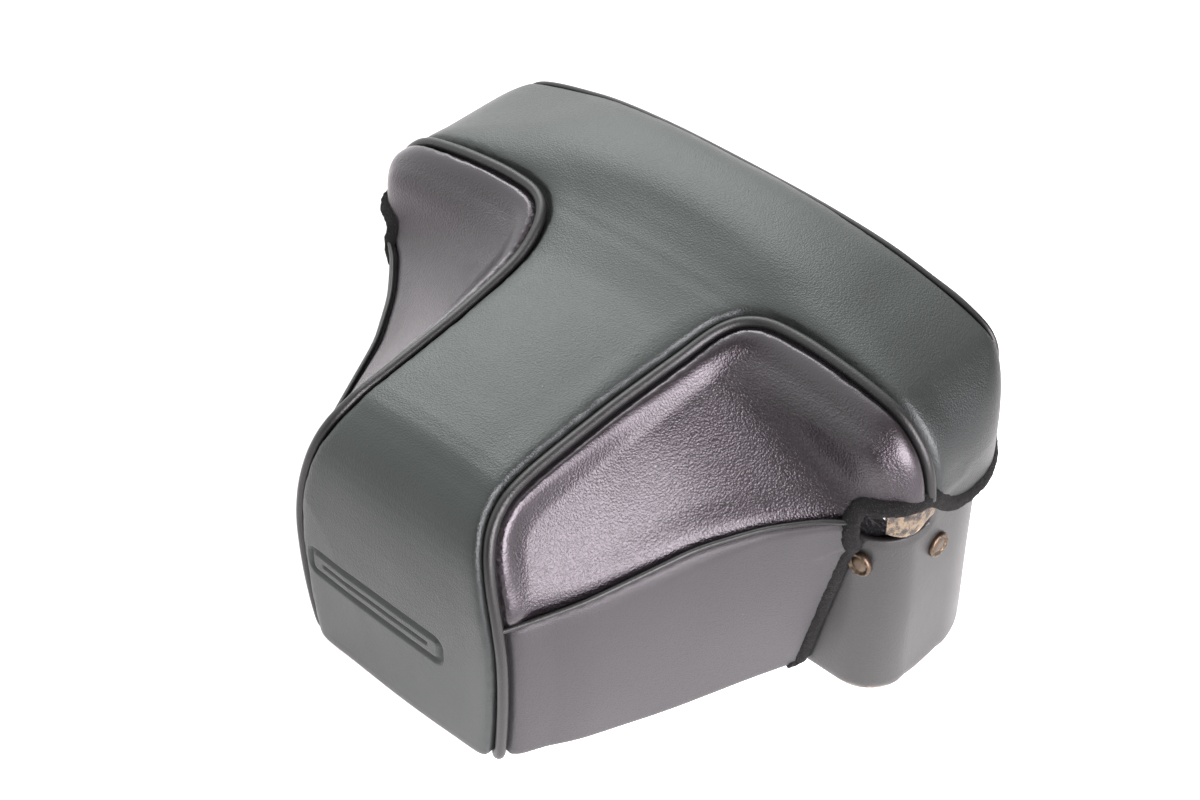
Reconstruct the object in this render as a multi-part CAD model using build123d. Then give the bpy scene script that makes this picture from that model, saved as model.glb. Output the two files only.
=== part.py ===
from build123d import *
import math
import os

os.makedirs("parts", exist_ok=True)

# Half frame single lens reflex camera in its closed leather carrying case.
# Millimetres. +Z is up, the snout points to -Y, X is the camera's width.
# The design frame has z = 0 at the underside of the case, x = 0 on the lens
# axis and y = 0 near the middle of the body.  The written parts are moved so
# that the origin is the bottom centre of the whole object's box.

# ---- case (lower half) -----------------------------------------------------
HALF_W = 67.0            # outer half width of the lower case
FRONT_Y = -20.5          # outer front face of the lower case
BACK_Y = 17.5            # outer back face
R_FRONT, R_BACK = 9.0, 18.0
CASE_TOP = 50.0          # height of the lower case wall
LEATHER = 1.4
BOARD_TOP = 3.2
FLOOR_TOP = 4.0          # top of the lining, the camera stands on it
LINING = 1.0
# ---- hood ------------------------------------------------------------------
HOOD_GAP = 0.4           # clearance between hood and lower case
HOOD_OUT = 3.0           # outer face of the hood beyond the lower case
HOOD_T = HOOD_OUT - HOOD_GAP
FLAP_Y = -21.7           # rear edge of the snout flaps
CHIN_Y = -64.0           # the snout is closed below in front of this line
PIPE_OUT = 0.9           # piping stands proud by this much
BIND_OUT = 0.7
BIND_W = 3.2
NOTCH_Z = 50.5           # height of the hood's rim over the strap notches
# ---- camera ----------------------------------------------------------------
CAM_Z = FLOOR_TOP
CAM_W, CAM_Y0, CAM_Y1 = 127.0, -17.7, 14.7
BAND_Z0, BAND_Z1 = CAM_Z + 5.0, CAM_Z + 41.0
SHOULDER_Z = 60.5
CENTRE_Z = 68.5
AX = 34.0                # height of the lens axis
SPOOL_X = -53.0
SPROCKET_X = -40.0
REWIND_X = 45.0
LEVER = (-43.5, -0.5)
BUTTON = (-17.0, 2.0)

# ---- helpers ---------------------------------------------------------------
def box(x0, x1, y0, y1, z0, z1):
    return Pos((x0 + x1) / 2, (y0 + y1) / 2, (z0 + z1) / 2) * Box(x1 - x0, y1 - y0, z1 - z0)

def cyl(x, y, z0, z1, r):
    return Pos(x, y, (z0 + z1) / 2) * Cylinder(r, z1 - z0)

def cyl_y(x, z, y0, y1, r):
    return Pos(x, (y0 + y1) / 2, z) * Rot(90, 0, 0) * Cylinder(r, y1 - y0)

def cyl_x(y, z, x0, x1, r):
    return Pos((x0 + x1) / 2, y, z) * Rot(0, 90, 0) * Cylinder(r, x1 - x0)

def offset_poly(pts, d):
    """Grow (d > 0) or shrink a closed polygon by mitred edges."""
    area = sum(pts[i][0] * pts[(i + 1) % len(pts)][1] - pts[(i + 1) % len(pts)][0] * pts[i][1]
               for i in range(len(pts)))
    s = 1.0 if area > 0 else -1.0
    out = []
    n = len(pts)
    for i in range(n):
        a, b, c = pts[i - 1], pts[i], pts[(i + 1) % n]
        e1 = (b[0] - a[0], b[1] - a[1]); l1 = math.hypot(*e1)
        e2 = (c[0] - b[0], c[1] - b[1]); l2 = math.hypot(*e2)
        n1 = (s * e1[1] / l1, -s * e1[0] / l1)
        n2 = (s * e2[1] / l2, -s * e2[0] / l2)
        k = 1.0 + n1[0] * n2[0] + n1[1] * n2[1]
        out.append((b[0] + d * (n1[0] + n2[0]) / k, b[1] + d * (n1[1] + n2[1]) / k))
    return out

def prism_z(pts, z0, z1):
    f = make_face(Polyline(*[(p[0], p[1], z0) for p in pts], close=True))
    return extrude(f, amount=z1 - z0, dir=(0, 0, 1))

def prism_y(pts, y0, y1):
    f = make_face(Polyline(*[(p[0], y0, p[1]) for p in pts], close=True))
    return extrude(f, amount=y1 - y0, dir=(0, 1, 0))

def prism_x(pts, x0, x1):
    f = make_face(Polyline(*[(x0, p[0], p[1]) for p in pts], close=True))
    return extrude(f, amount=x1 - x0, dir=(1, 0, 0))

def slab(hw, y0, y1, rf, rb, z0, z1):
    """Prism over the rounded plan of the case or the camera."""
    s = extrude(Pos(0, (y0 + y1) / 2, z0) * Rectangle(2 * hw, y1 - y0), amount=z1 - z0)
    front = [e for e in s.edges().filter_by(Axis.Z) if e.center().Y < (y0 + y1) / 2]
    back = [e for e in s.edges().filter_by(Axis.Z) if e.center().Y > (y0 + y1) / 2]
    s = fillet(front, rf)
    back = [e for e in s.edges().filter_by(Axis.Z)
            if e.center().Y > (y0 + y1) / 2 and abs(abs(e.center().X) - hw) < 1e-3]
    return fillet(back, rb)

def case(d, z0, z1):
    return slab(HALF_W + d, FRONT_Y - d, BACK_Y + d, R_FRONT + d, R_BACK + d, z0, z1)

def cam(d, z0, z1):
    return slab(CAM_W / 2 + d, CAM_Y0 - d, CAM_Y1 + d, 7.5 + d, 16.0 + d, z0, z1)

def mirror_x(pts):
    return pts + [(-x, z) for x, z in reversed(pts) if abs(x) > 1e-9]

parts = {}

# ---- lower case ------------------------------------------------------------
lens_cut = box(-46, 46, -30, -12, 20, 60) + box(-40, 40, -30, -12, 14, 60) \
    + cyl_y(-40, 20, -30, -12, 6) + cyl_y(40, 20, -30, -12, 6) + cyl_y(0, AX, -30, -12, 26.6)
notches = box(57.6, 80, -30, -8.6, 40, 60) + box(-80, -57.6, -30, -8.6, 40, 60)
screw_hole = cyl(0, -1.5, -1, FLOOR_TOP + 1, 5.2)
screw_sink = cyl(0, -1.5, -1, 2.7, 10.4)

shell = case(0, 0, CASE_TOP)
bottom_edges = [e for e in shell.edges() if abs(e.center().Z) < 1e-3]
shell = chamfer(bottom_edges, 0.9)
shell = shell - case(-LEATHER, LEATHER, CASE_TOP + 5) - lens_cut - notches - screw_sink - screw_hole
parts["half_case_shell"] = shell
parts["half_case_board"] = case(-LEATHER, LEATHER, BOARD_TOP) - screw_sink - screw_hole
parts["half_case_lining"] = (case(-LEATHER, BOARD_TOP, CASE_TOP - 0.4)
                             - case(-LEATHER - LINING, FLOOR_TOP, CASE_TOP + 5)
                             - lens_cut - notches - screw_hole)
strap_ring = case(-0.3, 40.2, 49.4) - case(-2.3, 39, 51)
for side, s in (("left", -1), ("right", 1)):
    region = box(57.9, 80, -30, -8.9, 40.2, 49.4) if s > 0 else box(-80, -57.9, -30, -8.9, 40.2, 49.4)
    strap = strap_ring & region
    strap = strap - Pos(s * 62.5, -16.0, 46.6) * Rot(0, 0, 45 * s) * Rot(90, 0, 0) * Cylinder(2.4, 14)
    straps = strap if s < 0 else straps + strap
parts["corner_straps"] = straps
block = case(0, 20, 45)
riv = None
for s in (-1, 1):
    for r in (cyl_y(s * 60.6, 34.4, -21.35, -19.0, 2.6), cyl_x(-5.6, 33.0, 66.0, 67.9, 2.6) if s > 0
              else cyl_x(-5.6, 33.0, -67.9, -66.0, 2.6)):
        r = r - block
        riv = r if riv is None else riv + r
# leather keeper on the back that holds the hood's tongue
keeper = (box(-24, -14.2, BACK_Y, BACK_Y + 1.4, 24, 34) + box(14.2, 24, BACK_Y, BACK_Y + 1.4, 24, 34)
          + box(-15.8, -14.2, BACK_Y, 21.9, 24, 34) + box(14.2, 15.8, BACK_Y, 21.9, 24, 34)
          + box(-15.8, 15.8, 20.5, 21.9, 24, 34))
parts["back_keeper"] = keeper
parts["case_rivets"] = (riv + cyl_y(-20, 29, BACK_Y + 1.4, BACK_Y + 2.3, 2.4)
                        + cyl_y(20, 29, BACK_Y + 1.4, BACK_Y + 2.3, 2.4))

# ---- hood ------------------------------------------------------------------
FRONT_VIEW = [(70, -20), (70, 51.5), (68.9, 55.5), (66.6, 60.0), (63.7, 63.4), (60, 66.2),
              (56, 68), (50, 70), (43, 72), (36, 74), (28, 75.6), (15, 77.6), (0, 78.3)]
FRONT_VIEW = mirror_x(FRONT_VIEW)
SIDE_VIEW = [(-23.5, -20), (-23.5, 55), (-22.6, 60), (-19.8, 64), (-15.5, 67.2), (-12.5, 68.8),
             (-7, 72.6), (-1, 76), (5, 77.9), (10, 78.4), (14, 77.2), (17.3, 74), (19.6, 69.5),
             (20.5, 64), (20.5, -20)]
NOSE_SIDE = [(-81.9, -20), (-81.4, 30), (-80.8, 40), (-79.4, 48.5), (-76.5, 54.4), (-72, 58.2),
             (-66, 60.6), (-45, 63.6), (-28.5, 66), (-12, 69.2), (-5, 69.2), (-5, -20)]
# y, bottom half width, middle (z 22), seam half width and height, top edge half width and height
NOSE = [(-86.0, 19.8, 23.0, 22.8, 35.5, 18.6, 58.0),
        (-66.0, 32.5, 35.4, 34.4, 38.6, 19.4, 59.3),
        (-45.0, 41.0, 43.6, 43.4, 42.0, 19.8, 62.0),
        (-34.0, 45.2, 48.2, 50.4, 44.6, 20.6, 63.4),
        (-28.5, 47.3, 51.0, 56.0, 45.8, 21.0, 64.3),
        (-23.5, 49.2, 54.2, 61.0, 46.9, 22.0, 65.3),
        (-12.0, 52.0, 58.0, 64.0, 48.5, 26.0, 67.4),
        (-6.0, 52.0, 58.0, 64.0, 48.5, 27.0, 67.8)]

def cross_block(d):
    c = case(HOOD_OUT + d, -15, 90)
    c = c & prism_y(offset_poly(FRONT_VIEW, d), -40, 40)
    return c & prism_x(offset_poly(SIDE_VIEW, d), -90, 90)

def nose_block(d):
    faces = []
    for y, xb, xm, xs, zs, xt, zt in NOSE:
        pts = [(xb - 1.0, -20), (xb, 0), (xm, 22), (xs, zs), (xt, zt), (0, zt + 1.3)]
        pts = offset_poly(mirror_x(pts), d)
        faces.append(make_face(Polyline(*[(p[0], y, p[1]) for p in pts], close=True)))
    n = loft(sections=faces, ruled=True)
    return n & prism_x(offset_poly(NOSE_SIDE, d), -90, 90)

def rim_keep(dz=0.0):
    side = [(40, 44 + dz), (13, 44 + dz), (5, 42.6 + dz), (-3, 42.4 + dz), (-8.5, 45 + dz),
            (-12.5, NOTCH_Z + dz), (-40, NOTCH_Z + dz), (-40, 100), (40, 100)]
    return prism_x(side, -90, 90)

KEEP_C = rim_keep() + box(-60.4, 60.4, -40, -12, 46.8, 100)
KEEP_N = box(-90, 90, -95, FLAP_Y, 0, 100) + box(-60.4, 60.4, -95, -8, 47.2, 100)

def hood_outer(d):
    return (cross_block(d) & KEEP_C) + (nose_block(d) & KEEP_N)

def hood_inner(t):
    c = cross_block(-t) & (box(-90, 90, -40, 40, 44, 100) + box(-90, 90, FLAP_Y, 40, -20, 100))
    n = nose_block(-t) - box(-90, 90, -95, CHIN_Y, -30, t)
    return c + n

T_RIGHT = [(34, -92), (34, -79.3), (25.6, -79.0), (22.6, -77.6), (20.6, -74.6), (19.7, -71.2), (19.4, -66),
           (19.4, -59.6), (19.8, -45), (20.3, -36.6), (20.9, -28.5), (21.9, -22.4), (23.4, -17.8),
           (25.9, -14.5), (29.8, -12.6), (36, -12.2), (46, -12.4), (56, -12.6), (85, -12.6),
           (85, 40.0)]
T_PLAN = T_RIGHT + [(-x, y) for x, y in reversed(T_RIGHT)]
t_mid = T_PLAN
t_small = prism_z(offset_poly(T_PLAN, -1.0), -10, 100)
t_big = prism_z(offset_poly(T_PLAN, 1.0), -10, 100)
no_back = box(-95, 95, -100, 16.2, -10, 100)
seam_pts = [(-100, 31.7), (-12, 49.6)]
def seam_slab(h):
    return prism_x([(-100, 31.7 - h), (-12, 49.6 - h), (-12, 49.6 + h), (-100, 31.7 + h)], -95, 95)
above_seam = prism_x([(-100, 31.7), (-12, 49.6), (-12, 120), (-100, 120)], -95, 95)

O0 = hood_outer(0.0)
I1 = hood_inner(LEATHER)
leather = O0 - I1
rail_stock = hood_outer(PIPE_OUT) & box(-95, 95, -95, 95, 0, 100)
bind_region = (rim_keep() - rim_keep(BIND_W)) - box(-60.4, 60.4, -40, -12, 40, 100)
bind_region = bind_region + (box(-95, 95, FLAP_Y - BIND_W, FLAP_Y, 0, NOTCH_Z + 0.0)
                             - prism_x([(-60, 47.2), (-10, 47.2), (-10, 99), (-60, 99)], -60.4, 60.4))
I2 = hood_inner(HOOD_T)
bind_region = bind_region + box(56.6, 60.4, -40, -20.8, 46.0, 50.6) + box(-60.4, -56.6, -40, -20.8, 46.0, 50.6)
binding = (hood_outer(BIND_OUT) & bind_region) - I2
t_band = (t_big - t_small) & no_back
back_band = box(-95, 95, 16.2, 17.8, -10, 100)
pipe = ((rail_stock - I1) & t_band) - bind_region
back_pipe = ((hood_outer(0.7) - I1) & back_band) - bind_region
sides = ((leather - t_big) & box(-95, 95, -100, -10, -10, 100)) - bind_region
cord = (((hood_outer(0.5) - I1) & seam_slab(0.6)) - t_big) & box(-95, 95, -100, -10, 0, 100)
cord = cord - bind_region
half = {"left": box(-95, 0, -100, 100, -10, 100), "right": box(0, 95, -100, 100, -10, 100)}
top = ((leather & t_small) & no_back) - bind_region
# plain sunk bar on the front face
top = top - (box(-22, 12, -83, -81.0, 20.6, 24.2))
parts["hood_top_panel"] = top
parts["hood_back_panel"] = (leather & box(-95, 95, 17.8, 60, -10, 100)) - bind_region
for name in ("left", "right"):
    parts["hood_side_panel_" + name] = ((sides & above_seam) - seam_slab(0.6)) & half[name]
    parts["hood_lower_panel_" + name] = ((sides - above_seam) - seam_slab(0.6)) & half[name]
    parts["piping_" + name] = pipe & half[name]
parts["back_piping"] = back_pipe
parts["lower_seam_cords"] = cord
parts["hood_binding"] = binding
lining = ((hood_outer(-LEATHER) - I2) - bind_region) - box(-95, 95, -95, CHIN_Y + 1, -5, LEATHER)
parts["hood_lining"] = lining
parts["back_tongue"] = box(-12.6, 12.6, 18.1, 19.9, 20, 44.0) + cyl_y(0, 20, 18.1, 19.9, 12.6) \
    - box(-20, 20, 15, 25, -20, 12)

# ---- camera: covers, body and film path -------------------------------------
view = prism_y([(-64, 0), (-64, 50), (-62.4, 56), (-58, SHOULDER_Z), (58, SHOULDER_Z), (62.4, 56), (64, 50), (64, 0)], -40, 40)
cov = cam(-1.5, BAND_Z1, SHOULDER_Z) & view
centre = prism_x([(-15.6, SHOULDER_Z - 3), (-7.6, CENTRE_Z), (12.2, CENTRE_Z), (12.9, SHOULDER_Z - 3)], -27, 27)
view_in = prism_y([(-63, 0), (-63, 50), (-61.5, 55.6), (-57.5, SHOULDER_Z - 1), (57.5, SHOULDER_Z - 1), (61.5, 55.6), (63, 50), (63, 0)], -40, 40)
cov_in = cam(-2.5, BAND_Z1 - 1, SHOULDER_Z - 1) & view_in
centre_in = prism_x([(-14.4, SHOULDER_Z - 4), (-7.1, CENTRE_Z - 1), (11.3, CENTRE_Z - 1), (11.9, SHOULDER_Z - 4)], -26, 26)
top_cover = (cov + centre) - cov_in - centre_in
top_cover -= cyl(BUTTON[0], BUTTON[1], 60, 75, 3.1)
top_cover -= cyl(LEVER[0], LEVER[1], 55, 65, 2.1)
top_cover -= cyl(REWIND_X, -1.5, 55, 65, 2.06)
top_cover -= cyl(-6, 2.5, 66, 70, 3.6)
top_cover -= box(22, 38, 9, 20, 50.5, 58.5)
top_cover -= cyl_y(-26.5, 53, -20, -10, 1.56)
top_cover -= cyl_y(0, AX, -20, -12, 23.2)
parts["top_cover"] = top_cover
bottom_cover = cam(0, CAM_Z, BAND_Z0) - cam(-1.0, CAM_Z + 1, BAND_Z0 + 1)
bottom_cover -= cyl(0, -1.5, 0, 20, 7.06)
bottom_cover -= cyl(-28, -1.5, 0, 10, 2.06)
parts["bottom_cover"] = bottom_cover
parts["tripod_socket"] = cyl(0, -1.5, CAM_Z, 10.8, 7.0) + cyl(0, -1.5, 10.7, 12.1, 5.6) + cyl(0, -1.5, CAM_Z + 1.05, CAM_Z + 3, 9.0) - cyl(0, -1.5, 0, 11.0, 4.8)

mount_hole = cyl_y(0, AX, -20, -8, 21.2)
chassis = cam(-0.8, BAND_Z0, BAND_Z1) - cam(-2.3, BAND_Z0 - 1, BAND_Z1 + 1)
chassis -= box(-80, 80, 12.3, 30, 0, 80)
chassis -= cyl_y(0, AX, -20, -14, 21.2)
chassis += box(-33.4, -32.2, -15.6, 2.0, BAND_Z0, 20) + box(31.9, 32.9, -15.6, 8.0, BAND_Z0, BAND_Z1 - 0.1)
chassis += cyl(59.0, 4.6, BAND_Z0, BAND_Z1, 1.9) & cam(-0.8, BAND_Z0, BAND_Z1)
chassis -= cyl(59.0, 4.6, 0, 80, 0.95)
chassis -= cyl_y(30.0, 39.0, -20, -12, 1.56)
parts["chassis"] = chassis
leatherette = cam(0, BAND_Z0 + 0.3, BAND_Z1 - 0.3) - cam(-0.8, 0, 80) - box(-80, 80, 12.2, 30, 0, 80)
leatherette -= cyl_y(0, AX, -20, -12, 25.3)
leatherette -= cyl_y(30.0, 39.0, -20, -12, 3.4)
parts["leatherette"] = leatherette
door = cam(0, BAND_Z0 + 0.2, BAND_Z1 - 0.2) & box(-80, 80, 12.5, 30, 0, 80)
door -= box(-50, 50, 12.0, 13.3, BAND_Z0 + 2, BAND_Z1 - 2)
parts["back_door"] = door
parts["door_hinge_pin"] = cyl(59.0, 4.6, BAND_Z0, BAND_Z1, 0.9)
gate = box(-31, 31, 4.6, 6.2, BAND_Z0 + 4.3, BAND_Z1 + 4) - box(-9, 9, 0, 10, AX - 12, AX + 12)
parts["film_gate"] = gate - cyl_y(-10.5, AX, 0, 10, 1.06)
mbox = box(-13.6, 13.6, -16.2, 2.4, AX - 15, AX + 15) - box(-12.4, 12.4, -20, 10, AX - 13.8, AX + 13.8)
mbox -= box(10, 16, -13.5, -0.5, AX - 11, AX + 11)
mbox -= cyl(10.6, -0.6, AX - 20, AX + 20, 0.85)
mbox -= cyl_y(-10.5, AX, 2.0, 2.6, 2.4)
parts["mirror_box"] = mbox
parts["mirror_pin"] = cyl(10.6, -0.6, AX - 15, AX + 15, 0.8)
plate = Pos(10.6, -0.6, AX) * Rot(0, 0, 225) * (box(0.4, 17.4, -0.7, 0.7, -12.6, 12.6))
eye = cyl(10.6, -0.6, AX - 12.6, AX + 12.6, 1.5)
parts["mirror"] = (plate + eye) - cyl(10.6, -0.6, 0, 80, 0.85)
disc = cyl_y(-10.5, AX, 3.2, 3.6, 23.0) - box(-10.5 + 2.6, 40, 0, 10, 0, 80)
disc = disc + cyl_y(-10.5, AX, 2.9, 3.9, 2.6)
shaft = cyl_y(-10.5, AX, 3.0, 10.6, 1.0)
parts["shutter_disc"] = (disc + shaft)
parts["pressure_plate"] = box(-19, 19, 11.2, 12.0, AX - 16.5, AX + 9.5)
parts["pressure_spring"] = prism_z([(-14, 13.3), (-14, 12.9), (-5, 12.0), (5, 12.0), (14, 12.9), (14, 13.3), (5, 12.4), (-5, 12.4)], AX - 4, AX + 4)
parts["porro_prism"] = prism_z([(14.2, -14.0), (31.4, -14.0), (31.4, 3.4), (27, 3.4), (14.2, -9)], AX - 10, AX + 18.5) - box(0, 60, -20, -12.9, AX + 10.9, 60)
parts["eyepiece_frame"] = box(22.2, 37.8, 10.6, 16.6, 50.7, 58.3) - box(24.4, 35.6, 9, 18, 52.4, 56.6)
parts["eyepiece_lens"] = box(24.4, 35.6, 12.0, 13.6, 52.4, 56.6)
cart = cyl(REWIND_X, -1.5, 10.5, 52.5, 11.5) - cyl(REWIND_X, -1.5, 11.3, 51.7, 10.8)
cart -= cyl(REWIND_X, -1.5, 0, 80, 4.8)
parts["film_cartridge"] = cart
spool = cyl(REWIND_X, -1.5, 11.6, 53.0, 4.2) - cyl(REWIND_X, -1.5, 48.0, 54.0, 2.5)
spool += cyl(REWIND_X, -1.5, 12.0, 12.8, 9.8) + cyl(REWIND_X, -1.5, 50.2, 51.0, 9.8) - cyl(REWIND_X, -1.5, 48.0, 54.0, 2.5)
spool += box(REWIND_X - 2.6, REWIND_X + 2.6, -2.0, -1.0, 46.5, 48.4)
parts["film_spool"] = spool
shaft = cyl(REWIND_X, -1.5, 49.0, 61.0, 2.0) - box(REWIND_X - 3, REWIND_X + 3, -2.1, -0.9, 40, 51)
parts["rewind_shaft"] = shaft
parts["rewind_knob"] = cyl(REWIND_X, -1.5, 61.0, 65.0, 8.0) + cyl(REWIND_X, -1.5, 61.0, 62.0, 8.6) \
    - box(REWIND_X - 5.4, REWIND_X + 5.4, -2.1, -0.9, 64.2, 66)
take = cyl(SPOOL_X, -1.5, 10.6, 44.0, 4.2) + cyl(SPOOL_X, -1.5, 10.6, 11.4, 6.6) + cyl(SPOOL_X, -1.5, 43.2, 44.0, 6.6)
take -= box(SPOOL_X - 0.6, SPOOL_X + 0.6, -8, -1.5, 16, 38)
parts["take_up_spool"] = take
spr = cyl(SPROCKET_X, 3.0, 12.0, 43.0, 3.4) + cyl(SPROCKET_X, 3.0, 15.0, 17.0, 4.3) + cyl(SPROCKET_X, 3.0, 38.0, 40.0, 4.3)
for i in range(8):
    a = math.radians(45 * i)
    for z in (16.0, 39.0):
        spr += Pos(SPROCKET_X + 4.5 * math.cos(a), 3.0 + 4.5 * math.sin(a), z) * Box(1.1, 1.1, 1.1)
parts["sprocket"] = spr

# ---- camera: lens ------------------------------------------------------------
mount = cyl_y(0, AX, -20.5, -17.7, 25.0) + cyl_y(0, AX, -17.7, -16.2, 21.0) - cyl_y(0, AX, -25, -10, 17.0)
parts["lens_mount"] = mount
barrel = cyl_y(0, AX, -58, -20.5, 18.0) + cyl_y(0, AX, -22.2, -20.5, 22.6) + cyl_y(0, AX, -30.2, -27.2, 21.4) \
    + cyl_y(0, AX, -60.0, -44.4, 21.8)
barrel -= cyl_y(0, AX, -70, -10, 13.0)
barrel -= cyl_y(0, AX, -70, -55.5, 19.4)
barrel -= cyl_y(0, AX, -56, -49.0, 15.5)
parts["lens_barrel"] = barrel
parts["aperture_ring"] = cyl_y(0, AX, -27.0, -22.4, 22.4) - cyl_y(0, AX, -30, -20, 18.06)
parts["focus_ring"] = cyl_y(0, AX, -44.2, -30.4, 23.0) - cyl_y(0, AX, -50, -25, 18.06)
front_el = cyl_y(0, AX, -54.0, -49.0, 15.5)
dome = Pos(0, -54.0 + 38.0, AX) * Sphere(41.0)
parts["front_element"] = cyl_y(0, AX, -57.0, -49.0, 15.5) & dome
parts["rear_element"] = cyl_y(0, AX, -26.0, -22.0, 13.0)
iris = cyl_y(0, AX, -38.6, -38.0, 13.0) - cyl_y(0, AX, -40, -36, 5.0)
parts["iris_blades"] = iris

# ---- camera: controls ----------------------------------------------------------
parts["shutter_speed_dial"] = cyl_y(-26.5, 53, -21.4, -16.6, 5.6) + cyl_y(-26.5, 53, -17.0, -13.8, 1.5)
parts["button_collar"] = cyl(*BUTTON, CENTRE_Z, CENTRE_Z + 1.0, 4.6) - cyl(*BUTTON, 60, 75, 3.06)
parts["shutter_button"] = cyl(*BUTTON, 66.0, 71.2, 3.0) - cyl(*BUTTON, 69.6, 72, 1.1)
lev = cyl(LEVER[0], LEVER[1], 61.0, 63.4, 5.2)
arm = prism_z([(0, -4.2), (8, -4.0), (12.5, -2.8), (14.2, -0.4), (13.2, 1.6), (8, 1.2), (0, 3.4)], 61.2, 62.8)
arm = arm + prism_z([(11.2, -3.1), (14.2, -0.4), (13.2, 1.6), (10.4, 1.2)], 61.2, 63.8)
lev = lev + Pos(LEVER[0], LEVER[1], 0) * Rot(0, 0, 118) * arm
parts["advance_lever"] = lev - cyl(LEVER[0], LEVER[1], 50, 70, 2.06)
parts["lever_screw"] = cyl(LEVER[0], LEVER[1], 56.0, 63.7, 2.0) + cyl(LEVER[0], LEVER[1], 63.7, 64.6, 3.6) \
    + cyl(LEVER[0], LEVER[1], 56.0, 59.4, 3.4)
stl = cyl_y(30.0, 39.0, -20.4, -18.0, 3.0) + cyl_y(30.0, 39.0, -18.0, -14.6, 1.5) \
    + box(28.6, 31.4, -20.2, -18.6, 27.0, 39.0) + cyl_y(30.0, 27.0, -20.2, -18.6, 1.4)
parts["self_timer_lever"] = stl
parts["counter_window"] = cyl(-6, 2.5, CENTRE_Z - 1.0, CENTRE_Z + 0.5, 3.5)
parts["counter_dial"] = cyl(-6, 2.5, 65.4, 66.0, 8.0)
lugs = None
for s in (-1, 1):
    l = Pos(s * 61.3, -14.8, 46.6) * Rot(0, 0, 45 * s) * Rot(90, 0, 0) * Cylinder(1.5, 7.4)
    l = l - cam(-0.8, 0, BAND_Z1) - cam(-1.5, BAND_Z1 - 1, 80) - cam(0, 0, BAND_Z1)
    lugs = l if lugs is None else lugs + l
parts["strap_lugs"] = lugs
parts["rewind_release_button"] = cyl(-28, -1.5, CAM_Z + 0.4, CAM_Z + 3.4, 2.0) + cyl(-28, -1.5, CAM_Z + 2.6, CAM_Z + 3.4, 3.2)
parts["case_screw"] = (cyl(0, -1.5, 0.3, 2.5, 10.0) + cyl(0, -1.5, 2.5, 10.0, 4.72)
                       - cyl(0, -1.5, 0, 7.5, 3.175))

# ---- write -----------------------------------------------------------------
boxes = [p.bounding_box() for p in parts.values()]
x0 = min(b.min.X for b in boxes); x1 = max(b.max.X for b in boxes)
y0 = min(b.min.Y for b in boxes); y1 = max(b.max.Y for b in boxes)
z0 = min(b.min.Z for b in boxes); z1 = max(b.max.Z for b in boxes)
shift = (-(x0 + x1) / 2, -(y0 + y1) / 2, -z0)
print("box", x1 - x0, y1 - y0, z1 - z0, "shift", shift)
for name, shape in parts.items():
    export_step(Pos(*shift) * shape, "parts/" + name + ".step")
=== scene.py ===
import bpy, bmesh, math
import numpy as np
from mathutils import Vector, Matrix, noise
from mathutils.kdtree import KDTree
from mathutils.bvhtree import BVHTree


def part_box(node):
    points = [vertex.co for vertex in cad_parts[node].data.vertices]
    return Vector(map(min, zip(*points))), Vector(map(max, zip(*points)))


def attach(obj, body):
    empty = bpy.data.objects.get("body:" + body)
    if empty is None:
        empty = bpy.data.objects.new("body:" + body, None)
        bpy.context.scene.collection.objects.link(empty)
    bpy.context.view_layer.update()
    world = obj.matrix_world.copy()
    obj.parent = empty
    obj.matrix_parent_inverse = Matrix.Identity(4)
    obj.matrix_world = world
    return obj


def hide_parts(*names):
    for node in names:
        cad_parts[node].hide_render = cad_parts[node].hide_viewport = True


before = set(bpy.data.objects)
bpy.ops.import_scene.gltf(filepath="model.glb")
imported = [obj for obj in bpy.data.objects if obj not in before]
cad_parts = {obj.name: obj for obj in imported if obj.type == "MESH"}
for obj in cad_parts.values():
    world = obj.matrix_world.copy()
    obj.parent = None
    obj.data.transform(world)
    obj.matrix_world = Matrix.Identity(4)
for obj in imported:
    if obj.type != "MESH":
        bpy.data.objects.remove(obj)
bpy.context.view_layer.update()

MM = 0.001
_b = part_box("half_case_shell")
OY = (_b[0][1] / MM) + 20.5          # row y of the design frame's y = 0
COL = bpy.context.scene.collection
rng = np.random.default_rng(7)

# ------------------------------------------------------------------ helpers
def put(name, verts, faces, body, smooth=True):
    """Mesh from design-frame millimetres."""
    me = bpy.data.meshes.new(name)
    v = np.asarray(verts, float).copy()
    v[:, 1] += OY
    v[:, 2] = np.maximum(v[:, 2], 0.02)
    me.from_pydata((v * MM).tolist(), [], [list(map(int, f)) for f in faces])
    me.update()
    if smooth:
        me.shade_smooth()
    o = bpy.data.objects.new(name, me)
    COL.objects.link(o)
    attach(o, body)
    return o

def apply_mods(o):
    dg = bpy.context.evaluated_depsgraph_get()
    dg.update()
    me = bpy.data.meshes.new_from_object(o.evaluated_get(dg), preserve_all_data_layers=True, depsgraph=dg)
    old = o.data
    o.modifiers.clear()
    o.data = me
    me.name = o.name

def solidify(o, t, offset=-1.0, bevel=0.0):
    m = o.modifiers.new("s", "SOLIDIFY")
    m.thickness = t * MM
    m.offset = offset
    m.use_even_offset = False
    m.use_quality_normals = True
    if bevel:
        b = o.modifiers.new("b", "BEVEL")
        b.width = bevel * MM
        b.segments = 2
        b.limit_method = "ANGLE"
        b.angle_limit = math.radians(50)
    apply_mods(o)
    o.data.shade_smooth()

def smin(a, b, k):
    h = np.clip(0.5 + 0.5 * (b - a) / k, 0, 1)
    return b + (a - b) * h - k * h * (1 - h)

def smax(a, b, k):
    return -smin(-a, -b, k)

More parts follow.
